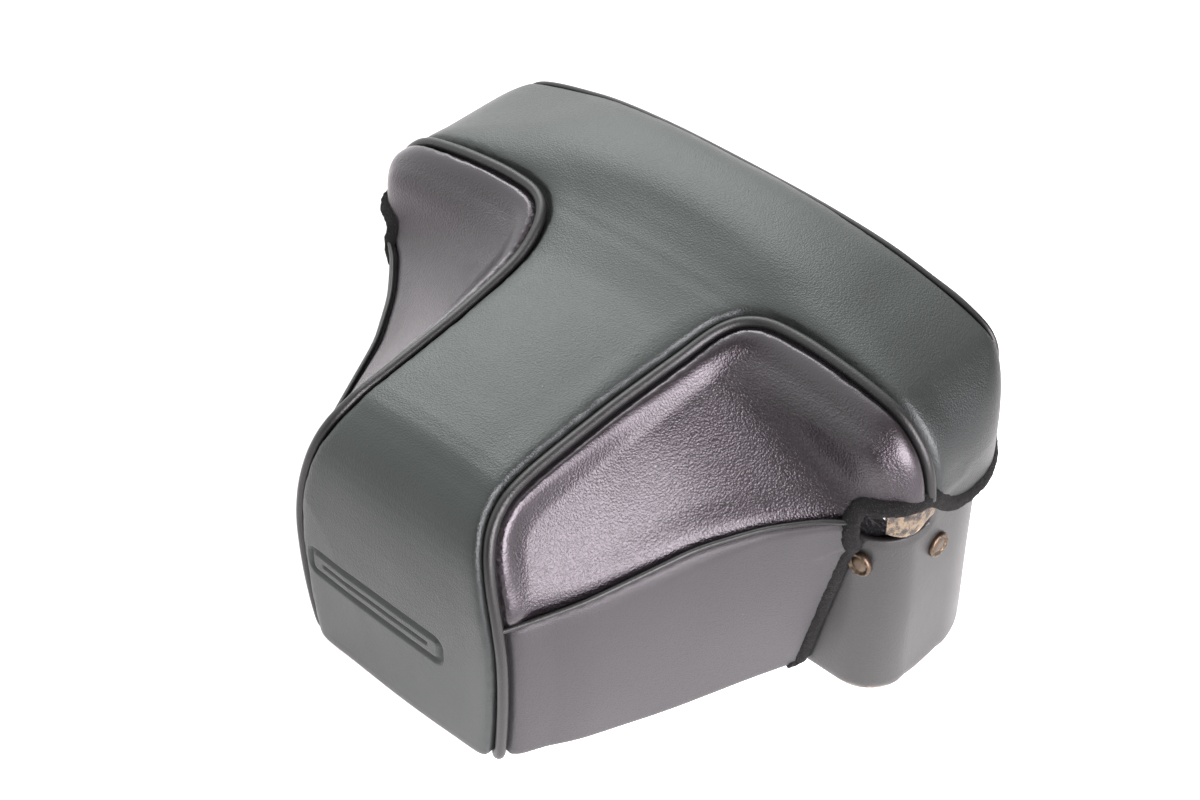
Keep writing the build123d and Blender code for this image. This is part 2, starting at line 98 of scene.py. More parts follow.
def offset_poly(pts, d):
    n = len(pts)
    area = sum(pts[i][0] * pts[(i + 1) % n][1] - pts[(i + 1) % n][0] * pts[i][1] for i in range(n))
    s = 1.0 if area > 0 else -1.0
    out = []
    for i in range(n):
        a, b, c = pts[i - 1], pts[i], pts[(i + 1) % n]
        e1 = (b[0] - a[0], b[1] - a[1]); l1 = math.hypot(*e1)
        e2 = (c[0] - b[0], c[1] - b[1]); l2 = math.hypot(*e2)
        n1 = (s * e1[1] / l1, -s * e1[0] / l1)
        n2 = (s * e2[1] / l2, -s * e2[0] / l2)
        k = 1.0 + n1[0] * n2[0] + n1[1] * n2[1]
        out.append((b[0] + d * (n1[0] + n2[0]) / k, b[1] + d * (n1[1] + n2[1]) / k))
    return out

def poly_sdf(pts, P, Q):
    """Signed distance to a polygon, negative inside."""
    best = None
    inside = None
    n = len(pts)
    for i in range(n):
        ax, ay = pts[i]
        bx, by = pts[(i + 1) % n]
        ex, ey = bx - ax, by - ay
        wx, wy = P - ax, Q - ay
        t = np.clip((wx * ex + wy * ey) / (ex * ex + ey * ey), 0, 1)
        d2 = (wx - ex * t) ** 2 + (wy - ey * t) ** 2
        best = d2 if best is None else np.minimum(best, d2)
        c = (ay > Q) != (by > Q)
        if abs(by - ay) > 1e-12:
            c = c & (P < (bx - ax) * (Q - ay) / (by - ay) + ax)
        else:
            c = c & False
        inside = c if inside is None else inside ^ c
    return np.where(inside, -1.0, 1.0) * np.sqrt(best)

def catmull(P, n=6):
    P = [np.array(p, float) for p in P]
    out = []
    for i in range(len(P) - 1):
        p0 = P[max(i - 1, 0)]; p1 = P[i]; p2 = P[i + 1]; p3 = P[min(i + 2, len(P) - 1)]
        for t in np.linspace(0, 1, n, endpoint=False):
            out.append(tuple(0.5 * ((2 * p1) + (-p0 + p2) * t + (2 * p0 - 5 * p1 + 4 * p2 - p3) * t * t + (-p0 + 3 * p1 - 3 * p2 + p3) * t ** 3)))
    out.append(tuple(P[-1]))
    return out

def rounded_plan(X, Y, hw, y0, y1, rf, rb):
    ax = np.abs(X)
    cy = (y0 + y1) / 2
    r = np.where(Y < cy, rf, rb)
    dx = ax - (hw - r)
    dy = np.where(Y < cy, y0 + r - Y, Y - (y1 - r))
    return np.minimum(np.maximum(dx, dy), 0) + np.hypot(np.maximum(dx, 0), np.maximum(dy, 0)) - r

def surface_nets(F, org, h):
    nx, ny, nz = F.shape
    S = F < 0
    cs = [S[i:nx - 1 + i, j:ny - 1 + j, k:nz - 1 + k] for i in (0, 1) for j in (0, 1) for k in (0, 1)]
    cnt = sum(c.astype(np.int8) for c in cs)
    act = (cnt > 0) & (cnt < 8)
    I, J, K = np.nonzero(act)
    idx = -np.ones(act.shape, np.int64)
    idx[I, J, K] = np.arange(len(I))
    acc = np.zeros((len(I), 3)); num = np.zeros(len(I))
    corners = [(i, j, k) for i in (0, 1) for j in (0, 1) for k in (0, 1)]
    for a in corners:
        for ax in range(3):
            if a[ax]:
                continue
            b = list(a); b[ax] = 1
            fa = F[I + a[0], J + a[1], K + a[2]]; fb = F[I + b[0], J + b[1], K + b[2]]
            m = (fa < 0) != (fb < 0)
            t = fa[m] / (fa[m] - fb[m])
            p = np.tile(np.array(a, float), (m.sum(), 1)); p[:, ax] += t
            acc[m] += p; num[m] += 1
    V = np.stack([I, J, K], 1) + acc / num[:, None]
    V = V * h + np.array(org)
    faces = []
    for ax in range(3):
        o1, o2 = [(1, 2), (2, 0), (0, 1)][ax]
        sl0 = [slice(None)] * 3; sl1 = [slice(None)] * 3
        sl0[ax] = slice(0, -1); sl1[ax] = slice(1, None)
        A = S[tuple(sl0)]; B = S[tuple(sl1)]
        e = np.argwhere(A != B)
        e = e[(e[:, o1] > 0) & (e[:, o2] > 0) & (e[:, o1] < F.shape[o1] - 1) & (e[:, o2] < F.shape[o2] - 1)]
        inside = A[tuple(e.T)]
        q = []
        for d1, d2 in ((-1, -1), (0, -1), (0, 0), (-1, 0)):
            c = e.copy(); c[:, o1] += d1; c[:, o2] += d2
            q.append(idx[tuple(c.T)])
        q = np.stack(q, 1)
        q[~inside] = q[~inside][:, ::-1]
        faces.append(q)
    return V, np.concatenate(faces)

def grad(f, V, e=0.05):
    g = np.zeros_like(V)
    for a in range(3):
        d = np.zeros(3); d[a] = e
        g[:, a] = (f(*(V + d).T) - f(*(V - d).T)) / (2 * e)
    return g

def project(f, V, steps=3):
    for _ in range(steps):
        g = grad(f, V)
        V = V - (f(*V.T) / np.maximum((g ** 2).sum(1), 0.05))[:, None] * g * 0.9
    g = grad(f, V)
    return V, g / np.linalg.norm(g, axis=1)[:, None]

def clip(V, faces, s, extra=None):
    """Keeps the part of a mesh where s > 0, cutting faces at s = 0. Returns V, faces, extras, cut edges."""
    s = np.where(np.abs(s) < 1e-6, 1e-6, s)
    pos = s > 0
    newV = [V]; count = len(V); made = {}; pv = []
    out = []; cut = []
    arr = np.asarray(faces, dtype=object) if not isinstance(faces, np.ndarray) else faces
    if isinstance(faces, np.ndarray):
        n = pos[faces].sum(1)
        out = faces[n == faces.shape[1]].tolist()
        mixed = faces[(n > 0) & (n < faces.shape[1])].tolist()
    else:
        mixed = []
        for f in faces:
            k = sum(bool(pos[i]) for i in f)
            if k == len(f):
                out.append(list(f))
            elif k:
                mixed.append(f)
    par = []
    for f in mixed:
        poly = []; crossing = []
        m = len(f)
        for i in range(m):
            a, b = f[i], f[(i + 1) % m]
            if pos[a]:
                poly.append(a)
            if pos[a] != pos[b]:
                key = (a, b) if a < b else (b, a)
                if key not in made:
                    t = s[key[0]] / (s[key[0]] - s[key[1]])
                    t = min(max(t, 0.02), 0.98)
                    made[key] = count; count += 1
                    par.append((key[0], key[1], t))
                poly.append(made[key]); crossing.append(made[key])
        if len(poly) >= 3:
            out.append(poly)
            if len(crossing) == 2:
                cut.append((crossing[0], crossing[1]))
    par = np.array(par) if par else np.zeros((0, 3))
    a = par[:, 0].astype(int); b = par[:, 1].astype(int); t = par[:, 2:3]
    V2 = np.concatenate([V, V[a] * (1 - t) + V[b] * t])
    ex = None
    if extra is not None:
        ex = [np.concatenate([e, e[a] * (1 - t) + e[b] * t]) if e.ndim == 2
              else np.concatenate([e, e[a] * (1 - t[:, 0]) + e[b] * t[:, 0]]) for e in extra]
    used = np.zeros(len(V2), bool)
    for f in out:
        used[f] = True
    remap = np.cumsum(used) - 1
    out = [[int(remap[i]) for i in f] for f in out]
    cut = [(int(remap[i]), int(remap[j])) for i, j in cut]
    V2 = V2[used]
    if ex is not None:
        ex = [e[used] for e in ex]
    return V2, out, ex, cut

def chains(edges):
    """Orders loose edges into polylines."""
    adj = {}
    for a, b in edges:
        adj.setdefault(a, []).append(b); adj.setdefault(b, []).append(a)
    seen = set(); res = []
    starts = [v for v in adj if len(adj[v]) == 1] + list(adj)
    for s0 in starts:
        if s0 in seen:
            continue
        line = [s0]; seen.add(s0); cur = s0
        while True:
            nx = [v for v in adj[cur] if v not in seen]
            if not nx:
                break
            cur = nx[0]; seen.add(cur); line.append(cur)
        closed = len(line) > 2 and line[0] in adj[line[-1]]
        if len(line) > 3:
            res.append((line, closed))
    return res

def resample(P, step, closed=False, smooth=0):
    P = np.asarray(P, float)
    if closed:
        P = np.vstack([P, P[:1]])
    d = np.r_[0, np.cumsum(np.linalg.norm(np.diff(P, axis=0), axis=1))]
    n = max(4, int(round(d[-1] / step)))
    t = np.linspace(0, d[-1], n + 1)
    Q = np.stack([np.interp(t, d, P[:, i]) for i in range(3)], 1)
    if closed:
        Q = Q[:-1]
    for _ in range(smooth):
        if closed:
            Q = (np.roll(Q, 1, 0) + 2 * Q + np.roll(Q, -1, 0)) / 4
        else:
            Q[1:-1] = (Q[:-2] + 2 * Q[1:-1] + Q[2:]) / 4
    return Q

def sweep(name, P, N, profile, body, closed=False, jitter=None, cap=True):
    """Tube along P; profile = list of (side, up) in mm; up is the normal N."""
    P = np.asarray(P, float); N = np.asarray(N, float)
    if closed:
        T = np.roll(P, -1, 0) - np.roll(P, 1, 0)
    else:
        T = np.gradient(P, axis=0)
    T /= np.linalg.norm(T, axis=1)[:, None]
    N = N - (N * T).sum(1)[:, None] * T
    N /= np.linalg.norm(N, axis=1)[:, None]
    B = np.cross(T, N)
    m = len(profile); n = len(P)
    pr = np.array(profile)
    V = P[:, None, :] + B[:, None, :] * pr[None, :, 0:1] + N[:, None, :] * pr[None, :, 1:2]
    if jitter is not None:
        V = V + jitter(V, P, N)
    V = V.reshape(-1, 3)
    F = []
    for i in range(n if closed else n - 1):
        i2 = (i + 1) % n
        for j in range(m):
            j2 = (j + 1) % m
            F.append((i * m + j, i2 * m + j, i2 * m + j2, i * m + j2))
    if not closed and cap:
        F.append(tuple(range(m)))
        F.append(tuple(reversed(range((n - 1) * m, n * m))))
    return put(name, V, F, body)

def circle(r, n=12, cy=0.0, flat=1.0):
    return [(r * math.cos(2 * math.pi * i / n), cy + flat * r * math.sin(2 * math.pi * i / n)) for i in range(n)]

def lathe(name, prof, body, slot, axis, org, n=64, mod=None):
    """prof = [(radius, along)], closed between ends on the axis or as a ring."""
    V = []; F = []
    m = len(prof)
    ring = prof[0][0] > 1e-6
    for i in range(n):
        a = 2 * math.pi * i / n
        for j, (r, h) in enumerate(prof):
            rr = r if mod is None else mod(r, h, a, j)
            V.append((rr * math.cos(a), rr * math.sin(a), h))
    for i in range(n):
        i2 = (i + 1) % n
        for j in range(m if ring else m - 1):
            j2 = (j + 1) % m
            F.append((i * m + j, i2 * m + j, i2 * m + j2, i * m + j2))
    V = np.array(V)
    if axis == "-y":
        V = np.stack([V[:, 0], -V[:, 2], V[:, 1]], 1)
        F = [tuple(reversed(f)) for f in F]
        F = [tuple(reversed(f)) for f in F]
    V = V + np.array(org)
    o = put(name, V, F, body)
    bm = bmesh.new(); bm.from_mesh(o.data)
    bmesh.ops.remove_doubles(bm, verts=bm.verts, dist=1e-6)
    bmesh.ops.recalc_face_normals(bm, faces=bm.faces)
    bm.to_mesh(o.data); bm.free()
    return o

def sharp(o, deg=35):
    o.data.shade_smooth()
    bm = bmesh.new(); bm.from_mesh(o.data)
    for e in bm.edges:
        e.smooth = not (len(e.link_faces) == 2 and e.calc_face_angle(0) > math.radians(deg))
    bm.to_mesh(o.data); bm.free()

# ------------------------------------------------------------------ materials
def M(name):
    m = bpy.data.materials.new(name)
    m.use_nodes = True
    nt = m.node_tree
    return m, nt, nt.nodes["Principled BSDF"]

def tex(nt, kind, scale, coord="Object", **kw):
    n = nt.nodes.new("ShaderNodeTex" + kind)
    tc = nt.nodes.new("ShaderNodeTexCoord")
    nt.links.new(tc.outputs[coord], n.inputs["Vector"])
    n.inputs["Scale"].default_value = scale
    for k, v in kw.items():
        if k in n.inputs:
            n.inputs[k].default_value = v
        else:
            setattr(n, k, v)
    return n

def ramp(nt, src, stops):
    r = nt.nodes.new("ShaderNodeValToRGB")
    while len(r.color_ramp.elements) < len(stops):
        r.color_ramp.elements.new(0.5)
    for e, (p, c) in zip(r.color_ramp.elements, stops):
        e.position = p
        e.color = (c[0], c[1], c[2], 1) if hasattr(c, "__len__") else (c, c, c, 1)
    nt.links.new(src, r.inputs[0])
    return r.outputs[0]

def mix(nt, a, b, fac, kind="MIX"):
    n = nt.nodes.new("ShaderNodeMix")
    n.data_type = "RGBA"; n.blend_type = kind
    for sock, v in ((n.inputs[6], a), (n.inputs[7], b)):
        if hasattr(v, "links"):
            nt.links.new(v, sock)
        else:
            sock.default_value = (v[0], v[1], v[2], 1)
    if hasattr(fac, "links"):
        nt.links.new(fac, n.inputs[0])
    else:
        n.inputs[0].default_value = fac
    return n.outputs[2]

def math_(nt, op, a, b=None, c=None):
    n = nt.nodes.new("ShaderNodeMath"); n.operation = op
    for i, v in enumerate((a, b, c)):
        if v is None:
            continue
        if hasattr(v, "links"):
            nt.links.new(v, n.inputs[i])
        else:
            n.inputs[i].default_value = v
    return n.outputs[0]

def bump(nt, bsdf, layers):
    """layers = [(height socket, strength, distance in m)]"""
    prev = None
    for h, s, d in layers:
        b = nt.nodes.new("ShaderNodeBump")
        b.inputs["Strength"].default_value = s
        b.inputs["Distance"].default_value = d
        nt.links.new(h, b.inputs["Height"])
        if prev is not None:
            nt.links.new(prev, b.inputs["Normal"])
        prev = b.outputs[0]
    nt.links.new(prev, bsdf.inputs["Normal"])

def attr(nt, name):
    a = nt.nodes.new("ShaderNodeAttribute"); a.attribute_name = name
    return a.outputs["Fac"]

def leather(name, base, tint, cell, grain, rough, spec=0.5, coat=0.0, coat_rough=0.3, sheen=0.0, wrinkle=0.25, wear=None, gutter_shade=True, dirt=0.35, tintc=(1.0, 1.0, 1.0)):
    m, nt, b = M(name)
    v1 = tex(nt, "Voronoi", cell, feature="SMOOTH_F1", Smoothness=0.35, Randomness=0.9)
    v2 = tex(nt, "Voronoi", cell * 2.3, feature="F1", Randomness=1.0)
    n1 = tex(nt, "Noise", cell * 0.22, Detail=6.0, Roughness=0.6)
    n2 = tex(nt, "Noise", 55.0, Detail=5.0, Roughness=0.55)
    n3 = tex(nt, "Noise", 16.0, Detail=3.0)
    # warp the grain so the cells run in creases
    for v in (v1, v2):
        mp = nt.nodes.new("ShaderNodeVectorMath"); mp.operation = "MULTIPLY_ADD"
        tc = nt.nodes.new("ShaderNodeTexCoord")
        nt.links.new(n1.outputs["Color"], mp.inputs[0])
        mp.inputs[1].default_value = (0.6 / cell, 0.6 / cell, 0.6 / cell)
        nt.links.new(tc.outputs["Object"], mp.inputs[2])
        nt.links.new(mp.outputs[0], v.inputs["Vector"])
    h = math_(nt, "ADD", math_(nt, "MULTIPLY", v1.outputs["Distance"], 0.75), math_(nt, "MULTIPLY", v2.outputs["Distance"], 0.3))
    col = mix(nt, base, tint, ramp(nt, n2.outputs["Fac"], [(0.3, 0.0), (0.7, 1.0)]))
    col = mix(nt, col, [c * 0.55 for c in base], ramp(nt, h, [(0.12, 0.0), (0.75, dirt)]))
    col = mix(nt, col, [c * 1.3 for c in tint], ramp(nt, n3.outputs["Fac"], [(0.45, 0.0), (0.75, 0.35)]))
    # dust specks
    sp = tex(nt, "Noise", 1900.0, Detail=1.0)
    col = mix(nt, col, (0.20, 0.19, 0.17), ramp(nt, sp.outputs["Fac"], [(0.80, 0.0), (0.84, 0.35)]))
    # painted shade: where the gutter mask is set (the sunk seam grooves and the sunk rule of the mark) the leather
    # colour is pushed to near black, standing for the shade in these grooves; the same mask also raises the roughness
    if gutter_shade:
        g = attr(nt, "gutter_shade")
        col = mix(nt, col, (0.002, 0.002, 0.0022), ramp(nt, g, [(0.15, 0.0), (0.85, 0.92)]))
    if wear is not None:
        w = attr(nt, "wear")
        wn = tex(nt, "Noise", 420.0, Detail=6.0, Roughness=0.7)
        wm = math_(nt, "MULTIPLY", w, ramp(nt, wn.outputs["Fac"], [(0.46, 0.0), (0.56, 1.0)]))
        col = mix(nt, col, wear, wm)
    nt.links.new(col, b.inputs["Base Color"])
    rr = math_(nt, "ADD", math_(nt, "MULTIPLY", n2.outputs["Fac"], 0.14), rough - 0.07)
    rr = math_(nt, "ADD", rr, math_(nt, "MULTIPLY", h, 0.10))
    if gutter_shade:
        rr = math_(nt, "ADD", rr, math_(nt, "MULTIPLY", attr(nt, "gutter_shade"), 0.4))
    nt.links.new(rr, b.inputs["Roughness"])
    b.inputs["Specular IOR Level"].default_value = spec
    b.inputs["Specular Tint"].default_value = (*tintc, 1)
    b.inputs["Coat Weight"].default_value = coat
    b.inputs["Coat Roughness"].default_value = coat_rough
    b.inputs["Coat Tint"].default_value = (*tintc, 1)
    b.inputs["Sheen Weight"].default_value = sheen
    b.inputs["Sheen Roughness"].default_value = 0.5
    rim = attr(nt, "rim")
    gh = math_(nt, "MULTIPLY", h, math_(nt, "SUBTRACT", 1.0, math_(nt, "MULTIPLY", rim, 0.75)))
    bump(nt, b, [(n3.outputs["Fac"], wrinkle, 0.002), (gh, 1.0, grain)])
    return m

def metal(name, base, rough, metallic=1.0, scratch=0.25, brushed=None, bumpy=0.00002, tarnish=None):
    m, nt, b = M(name)
    n1 = tex(nt, "Noise", 260.0, Detail=8.0, Roughness=0.7)
    n2 = tex(nt, "Noise", 40.0, Detail=4.0)
    fine = tex(nt, "Noise", 5200.0, Detail=2.0)
    if brushed:
        mp = nt.nodes.new("ShaderNodeMapping"); tc = nt.nodes.new("ShaderNodeTexCoord")
        mp.inputs["Scale"].default_value = brushed
        nt.links.new(tc.outputs["Object"], mp.inputs["Vector"])
        nt.links.new(mp.outputs[0], fine.inputs["Vector"])
    col = mix(nt, base, [c * 0.72 for c in base], ramp(nt, n2.outputs["Fac"], [(0.4, 0.0), (0.75, 0.6)]))
    col = mix(nt, col, tarnish if tarnish else [c * 0.5 for c in base], ramp(nt, n1.outputs["Fac"], [(0.56, 0.0), (0.75, scratch)]))
    nt.links.new(col, b.inputs["Base Color"])
    b.inputs["Metallic"].default_value = metallic
    r = math_(nt, "ADD", math_(nt, "MULTIPLY", n1.outputs["Fac"], 0.16), rough - 0.08)
    nt.links.new(r, b.inputs["Roughness"])
    bump(nt, b, [(fine.outputs["Fac"], 0.5, bumpy), (n1.outputs["Fac"], 0.15, 0.00006)])
    return m

def felt(name, base, light, scale=900.0, depth=0.0004):
    m, nt, b = M(name)
    n1 = tex(nt, "Noise", scale, Detail=8.0, Roughness=0.85)
    n2 = tex(nt, "Noise", scale * 3.1, Detail=4.0, Roughness=0.8)
    n3 = tex(nt, "Noise", 70.0, Detail=3.0)
    col = mix(nt, base, light, ramp(nt, n1.outputs["Fac"], [(0.47, 0.0), (0.66, 0.7)]))
    col = mix(nt, col, [min(1.0, c * 3.2 + 0.12) for c in light], ramp(nt, n2.outputs["Fac"], [(0.58, 0.0), (0.66, 0.7)]))
    col = mix(nt, col, [c * 0.6 for c in base], ramp(nt, n3.outputs["Fac"], [(0.4, 0.0), (0.7, 0.5)]))
    nt.links.new(col, b.inputs["Base Color"])
    b.inputs["Roughness"].default_value = 0.95
    b.inputs["Sheen Weight"].default_value = 0.04 if base[0] < 0.01 else 0.3
    b.inputs["Sheen Roughness"].default_value = 0.6
    b.inputs["Specular IOR Level"].default_value = 0.15
    bump(nt, b, [(n1.outputs["Fac"], 0.9, depth), (n2.outputs["Fac"], 0.7, depth * 0.4)])
    return m

def glass(name, tint, coat):
    m, nt, b = M(name)
    n = tex(nt, "Noise", 30.0, Detail=2.0)
    nt.links.new(mix(nt, tint, coat, ramp(nt, n.outputs["Fac"], [(0.4, 0.0), (0.7, 1.0)])), b.inputs["Base Color"])
    nd = tex(nt, "Noise", 700.0, Detail=3.0)
    nt.links.new(ramp(nt, nd.outputs["Fac"], [(0.55, 0.02), (0.8, 0.12)]), b.inputs["Roughness"])
    b.inputs["Transmission Weight"].default_value = 0.85
    b.inputs["IOR"].default_value = 1.55
    b.inputs["Coat Weight"].default_value = 0.6
    b.inputs["Coat Tint"].default_value = (0.7, 0.65, 1.0, 1)
    return m

def plastic(name, base, rough, grain=0.00004):
    m, nt, b = M(name)
    n1 = tex(nt, "Noise", 1500.0, Detail=4.0)
    n2 = tex(nt, "Noise", 90.0, Detail=4.0)
    nt.links.new(mix(nt, base, [min(1, c * 1.35 + 0.004) for c in base], ramp(nt, n2.outputs["Fac"], [(0.35, 0.0), (0.7, 1.0)])), b.inputs["Base Color"])
    nt.links.new(math_(nt, "ADD", math_(nt, "MULTIPLY", n2.outputs["Fac"], 0.2), rough - 0.1), b.inputs["Roughness"])
    bump(nt, b, [(n1.outputs["Fac"], 0.6, grain)])
    return m

def ribbed(name, base, rough, centre, axis, count, lo, hi, depth=0.00025, ticks=0, tick_band=None, tick_col=(0.01, 0.01, 0.01), metallic=1.0):
    """Turned part with ribs between lo and hi along its axis, and painted ticks."""
    m, nt, b = M(name)
    tc = nt.nodes.new("ShaderNodeTexCoord")
    s = nt.nodes.new("ShaderNodeSeparateXYZ")
    nt.links.new(tc.outputs["Object"], s.inputs[0])
    u = math_(nt, "SUBTRACT", s.outputs[0], centre[0])
    if axis == "y":
        w = math_(nt, "SUBTRACT", s.outputs[2], centre[2]); h = s.outputs[1]
    else:
        w = math_(nt, "SUBTRACT", s.outputs[1], centre[1]); h = s.outputs[2]
    ang = math_(nt, "ARCTAN2", w, u)
    band = math_(nt, "MULTIPLY", math_(nt, "GREATER_THAN", h, lo), math_(nt, "LESS_THAN", h, hi))
    wave = math_(nt, "SINE", math_(nt, "MULTIPLY", ang, float(count)))
    rib = math_(nt, "MULTIPLY", ramp(nt, math_(nt, "MULTIPLY_ADD", wave, 0.5, 0.5), [(0.25, 0.0), (0.6, 1.0)]), band)
    n1 = tex(nt, "Noise", 300.0, Detail=7.0, Roughness=0.65)
    fine = tex(nt, "Noise", 5200.0, Detail=2.0)
    col = mix(nt, base, [c * 0.6 for c in base], ramp(nt, n1.outputs["Fac"], [(0.45, 0.0), (0.75, 0.7)]))
    # painted shade: the grooves between the ribs are darkened to a quarter of the base colour
    groove_shade = math_(nt, "SUBTRACT", band, rib)
    col = mix(nt, col, [c * 0.25 for c in base], math_(nt, "MULTIPLY", groove_shade, 0.85))
    if ticks:
        tb = math_(nt, "MULTIPLY", math_(nt, "GREATER_THAN", h, tick_band[0]), math_(nt, "LESS_THAN", h, tick_band[1]))
        tw = math_(nt, "GREATER_THAN", math_(nt, "COSINE", math_(nt, "MULTIPLY", ang, float(ticks))), 0.93)
        col = mix(nt, col, tick_col, math_(nt, "MULTIPLY", tb, tw))
    nt.links.new(col, b.inputs["Base Color"])
    b.inputs["Metallic"].default_value = metallic
    nt.links.new(math_(nt, "ADD", math_(nt, "MULTIPLY", n1.outputs["Fac"], 0.16), rough - 0.08), b.inputs["Roughness"])
    bump(nt, b, [(rib, 1.0, depth), (fine.outputs["Fac"], 0.5, 0.00002)])
    return m

def _c(node):
    lo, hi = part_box(node)
    return [(lo[i] + hi[i]) / 2 for i in range(3)], lo, hi
_f, _flo, _fhi = _c("focus_ring")
_a, _alo, _ahi = _c("aperture_ring")
_d, _dlo, _dhi = _c("shutter_speed_dial")
_k2, _klo, _khi = _c("rewind_knob")
MAT = {
    "focus_grip": ribbed("focus_rubber", (0.012, 0.012, 0.012), 0.5, _f, "y", 64, _flo[1] + 0.0018, _fhi[1] - 0.0035, 0.0005, 12, (_fhi[1] - 0.0028, _fhi[1] - 0.0012), (0.55, 0.54, 0.5), 0.0),
    "aperture_grip": ribbed("aperture_chrome", (0.30, 0.30, 0.295), 0.3, _a, "y", 90, _alo[1], _alo[1] + 0.0018, 0.0003, 16, (_ahi[1] - 0.0020, _ahi[1] - 0.0006)),
    "dial_grip": ribbed("speed_dial_chrome", (0.30, 0.30, 0.295), 0.3, _d, "y", 44, _dlo[1] + 0.0006, _dhi[1] - 0.0006, 0.0003),
    "knob_grip": ribbed("rewind_knob_chrome", (0.30, 0.30, 0.295), 0.3, _k2, "z", 60, _klo[2] + 0.0010, _khi[2] - 0.0004, 0.0003),
    "panel": leather("panel_leather", (0.0085, 0.0100, 0.0098), (0.0120, 0.0140, 0.0135), 2700.0, 0.00007, 0.34, spec=0.5, wrinkle=0.14, tintc=(0.93, 1.0, 0.985)),
    "pocket": leather("pocket_leather", (0.0045, 0.0036, 0.0045), (0.0060, 0.0050, 0.0060), 2300.0, 0.00016, 0.25, spec=0.55, coat=0.25, coat_rough=0.20, wrinkle=0.06, dirt=0.5, tintc=(1.0, 0.93, 1.0)),
    "flap": leather("flap_leather", (0.0135, 0.0132, 0.0142), (0.0185, 0.0180, 0.0192), 3000.0, 0.00008, 0.46, spec=0.5, wrinkle=0.3, tintc=(1.0, 0.975, 1.0)),
    "case": leather("case_leather", (0.0115, 0.0113, 0.0115), (0.0155, 0.0153, 0.0155), 2800.0, 0.00006, 0.38, spec=0.52, wrinkle=0.25, wear=(0.42, 0.35, 0.27), gutter_shade=False),
    "pipe": leather("piping_leather", (0.0050, 0.0053, 0.0053), (0.008, 0.0084, 0.0084), 3000.0, 0.00004, 0.34, spec=0.42, wrinkle=0.15, gutter_shade=False),
    "strap": leather("strap_leather", (0.012, 0.010, 0.009), (0.030, 0.024, 0.018), 1500.0, 0.0003, 0.55, spec=0.5, wear=(0.30, 0.225, 0.14), gutter_shade=False),
    "body_skin": leather("camera_skin", (0.014, 0.014, 0.015), (0.022, 0.022, 0.023), 900.0, 0.0004, 0.42, spec=0.5, gutter_shade=False),
    "felt": felt("binding_felt", (0.0028, 0.0028, 0.0030), (0.012, 0.0115, 0.011), 1500.0, 0.0012),
    "lining": felt("lining_felt", (0.10, 0.010, 0.013), (0.21, 0.028, 0.032), 1400.0, 0.00025),
    "board": felt("board_fibre", (0.10, 0.08, 0.06), (0.2, 0.17, 0.13), 600.0, 0.0001),
    "rivet": metal("rivet_nickel", (0.105, 0.078, 0.056), 0.40, scratch=0.9, tarnish=(0.045, 0.028, 0.018), bumpy=0.00008),
    "satin": metal("satin_chrome", (0.30, 0.30, 0.295), 0.34, bumpy=0.00003),
    "bright": metal("bright_chrome", (0.38, 0.38, 0.385), 0.14),
    "steel": metal("steel", (0.27, 0.27, 0.27), 0.28, brushed=(1.0, 1.0, 0.03)),
    "brass": metal("brass", (0.34, 0.25, 0.10), 0.3, tarnish=(0.2, 0.13, 0.05)),
    "cast": metal("body_casting", (0.12, 0.12, 0.125), 0.5, metallic=0.6),
    "black": metal("black_enamel", (0.018, 0.018, 0.019), 0.32, metallic=0.3, tarnish=(0.16, 0.13, 0.08)),
    "mirror": metal("mirror_glass", (0.9, 0.9, 0.9), 0.06, scratch=0.05),
    "optic": glass("coated_glass", (0.85, 0.88, 0.92), (0.62, 0.55, 0.85)),
    "white": plastic("dial_enamel", (0.72, 0.71, 0.67), 0.5),
    "bakelite": plastic("spool_plastic", (0.02, 0.02, 0.02), 0.3),
}
def dress(o, key):
    o.data.materials.clear()
    o.data.materials.append(MAT[key])

def set_attr(o, name, vals):
    a = o.data.attributes.get(name) or o.data.attributes.new(name, "FLOAT", "POINT")
    a.data.foreach_set("value", np.asarray(vals, dtype=np.float32))

# ------------------------------------------------------------------ hood shape
FRONT_VIEW = [(70, -30), (70, 51.5), (68.9, 55.5), (66.6, 60.0), (63.7, 63.4), (60, 66.2),
              (56, 68), (50, 70), (43, 72), (36, 74), (28, 75.6), (15, 77.6), (0, 78.3)]
FRONT_VIEW = FRONT_VIEW + [(-x, z) for x, z in reversed(FRONT_VIEW[:-1])]
SIDE_VIEW = [(-23.5, -30), (-23.5, 55), (-22.6, 60), (-19.8, 64), (-15.5, 67.2), (-12.5, 68.8),
             (-7, 72.6), (-1, 76), (5, 77.9), (10, 78.4), (14, 77.2), (17.3, 74), (19.6, 69.5),
             (20.5, 64), (20.5, -30)]
NOSE_SIDE = [(-82.0, -30), (-81.7, 12), (-81.4, 30), (-80.8, 40), (-79.4, 48.5), (-76.5, 54.4), (-72, 58.2),
             (-66, 60.6), (-45, 63.6), (-28.5, 66), (-12, 69.2), (-5, 69.2), (-5, -30)]
NOSE = np.array([(-90.0, 17.4, 20.4, 20.2, 34.7, 18.2, 57.4),
        (-86.0, 19.8, 23.0, 22.8, 35.5, 18.6, 58.0),
        (-66.0, 32.5, 35.4, 34.4, 38.6, 19.4, 59.3),
        (-45.0, 41.0, 43.6, 43.4, 42.0, 19.8, 62.0),
        (-34.0, 45.2, 48.2, 50.4, 44.6, 20.6, 63.4),
        (-28.5, 47.3, 51.0, 56.0, 45.8, 21.0, 64.3),
        (-23.5, 49.2, 54.2, 61.0, 46.9, 22.0, 65.3),
        (-12.0, 52.0, 58.0, 64.0, 48.5, 26.0, 67.4),
        (0.0, 52.0, 58.0, 64.0, 48.5, 27.0, 67.8)])
_yy = np.linspace(-90, 0, 361)
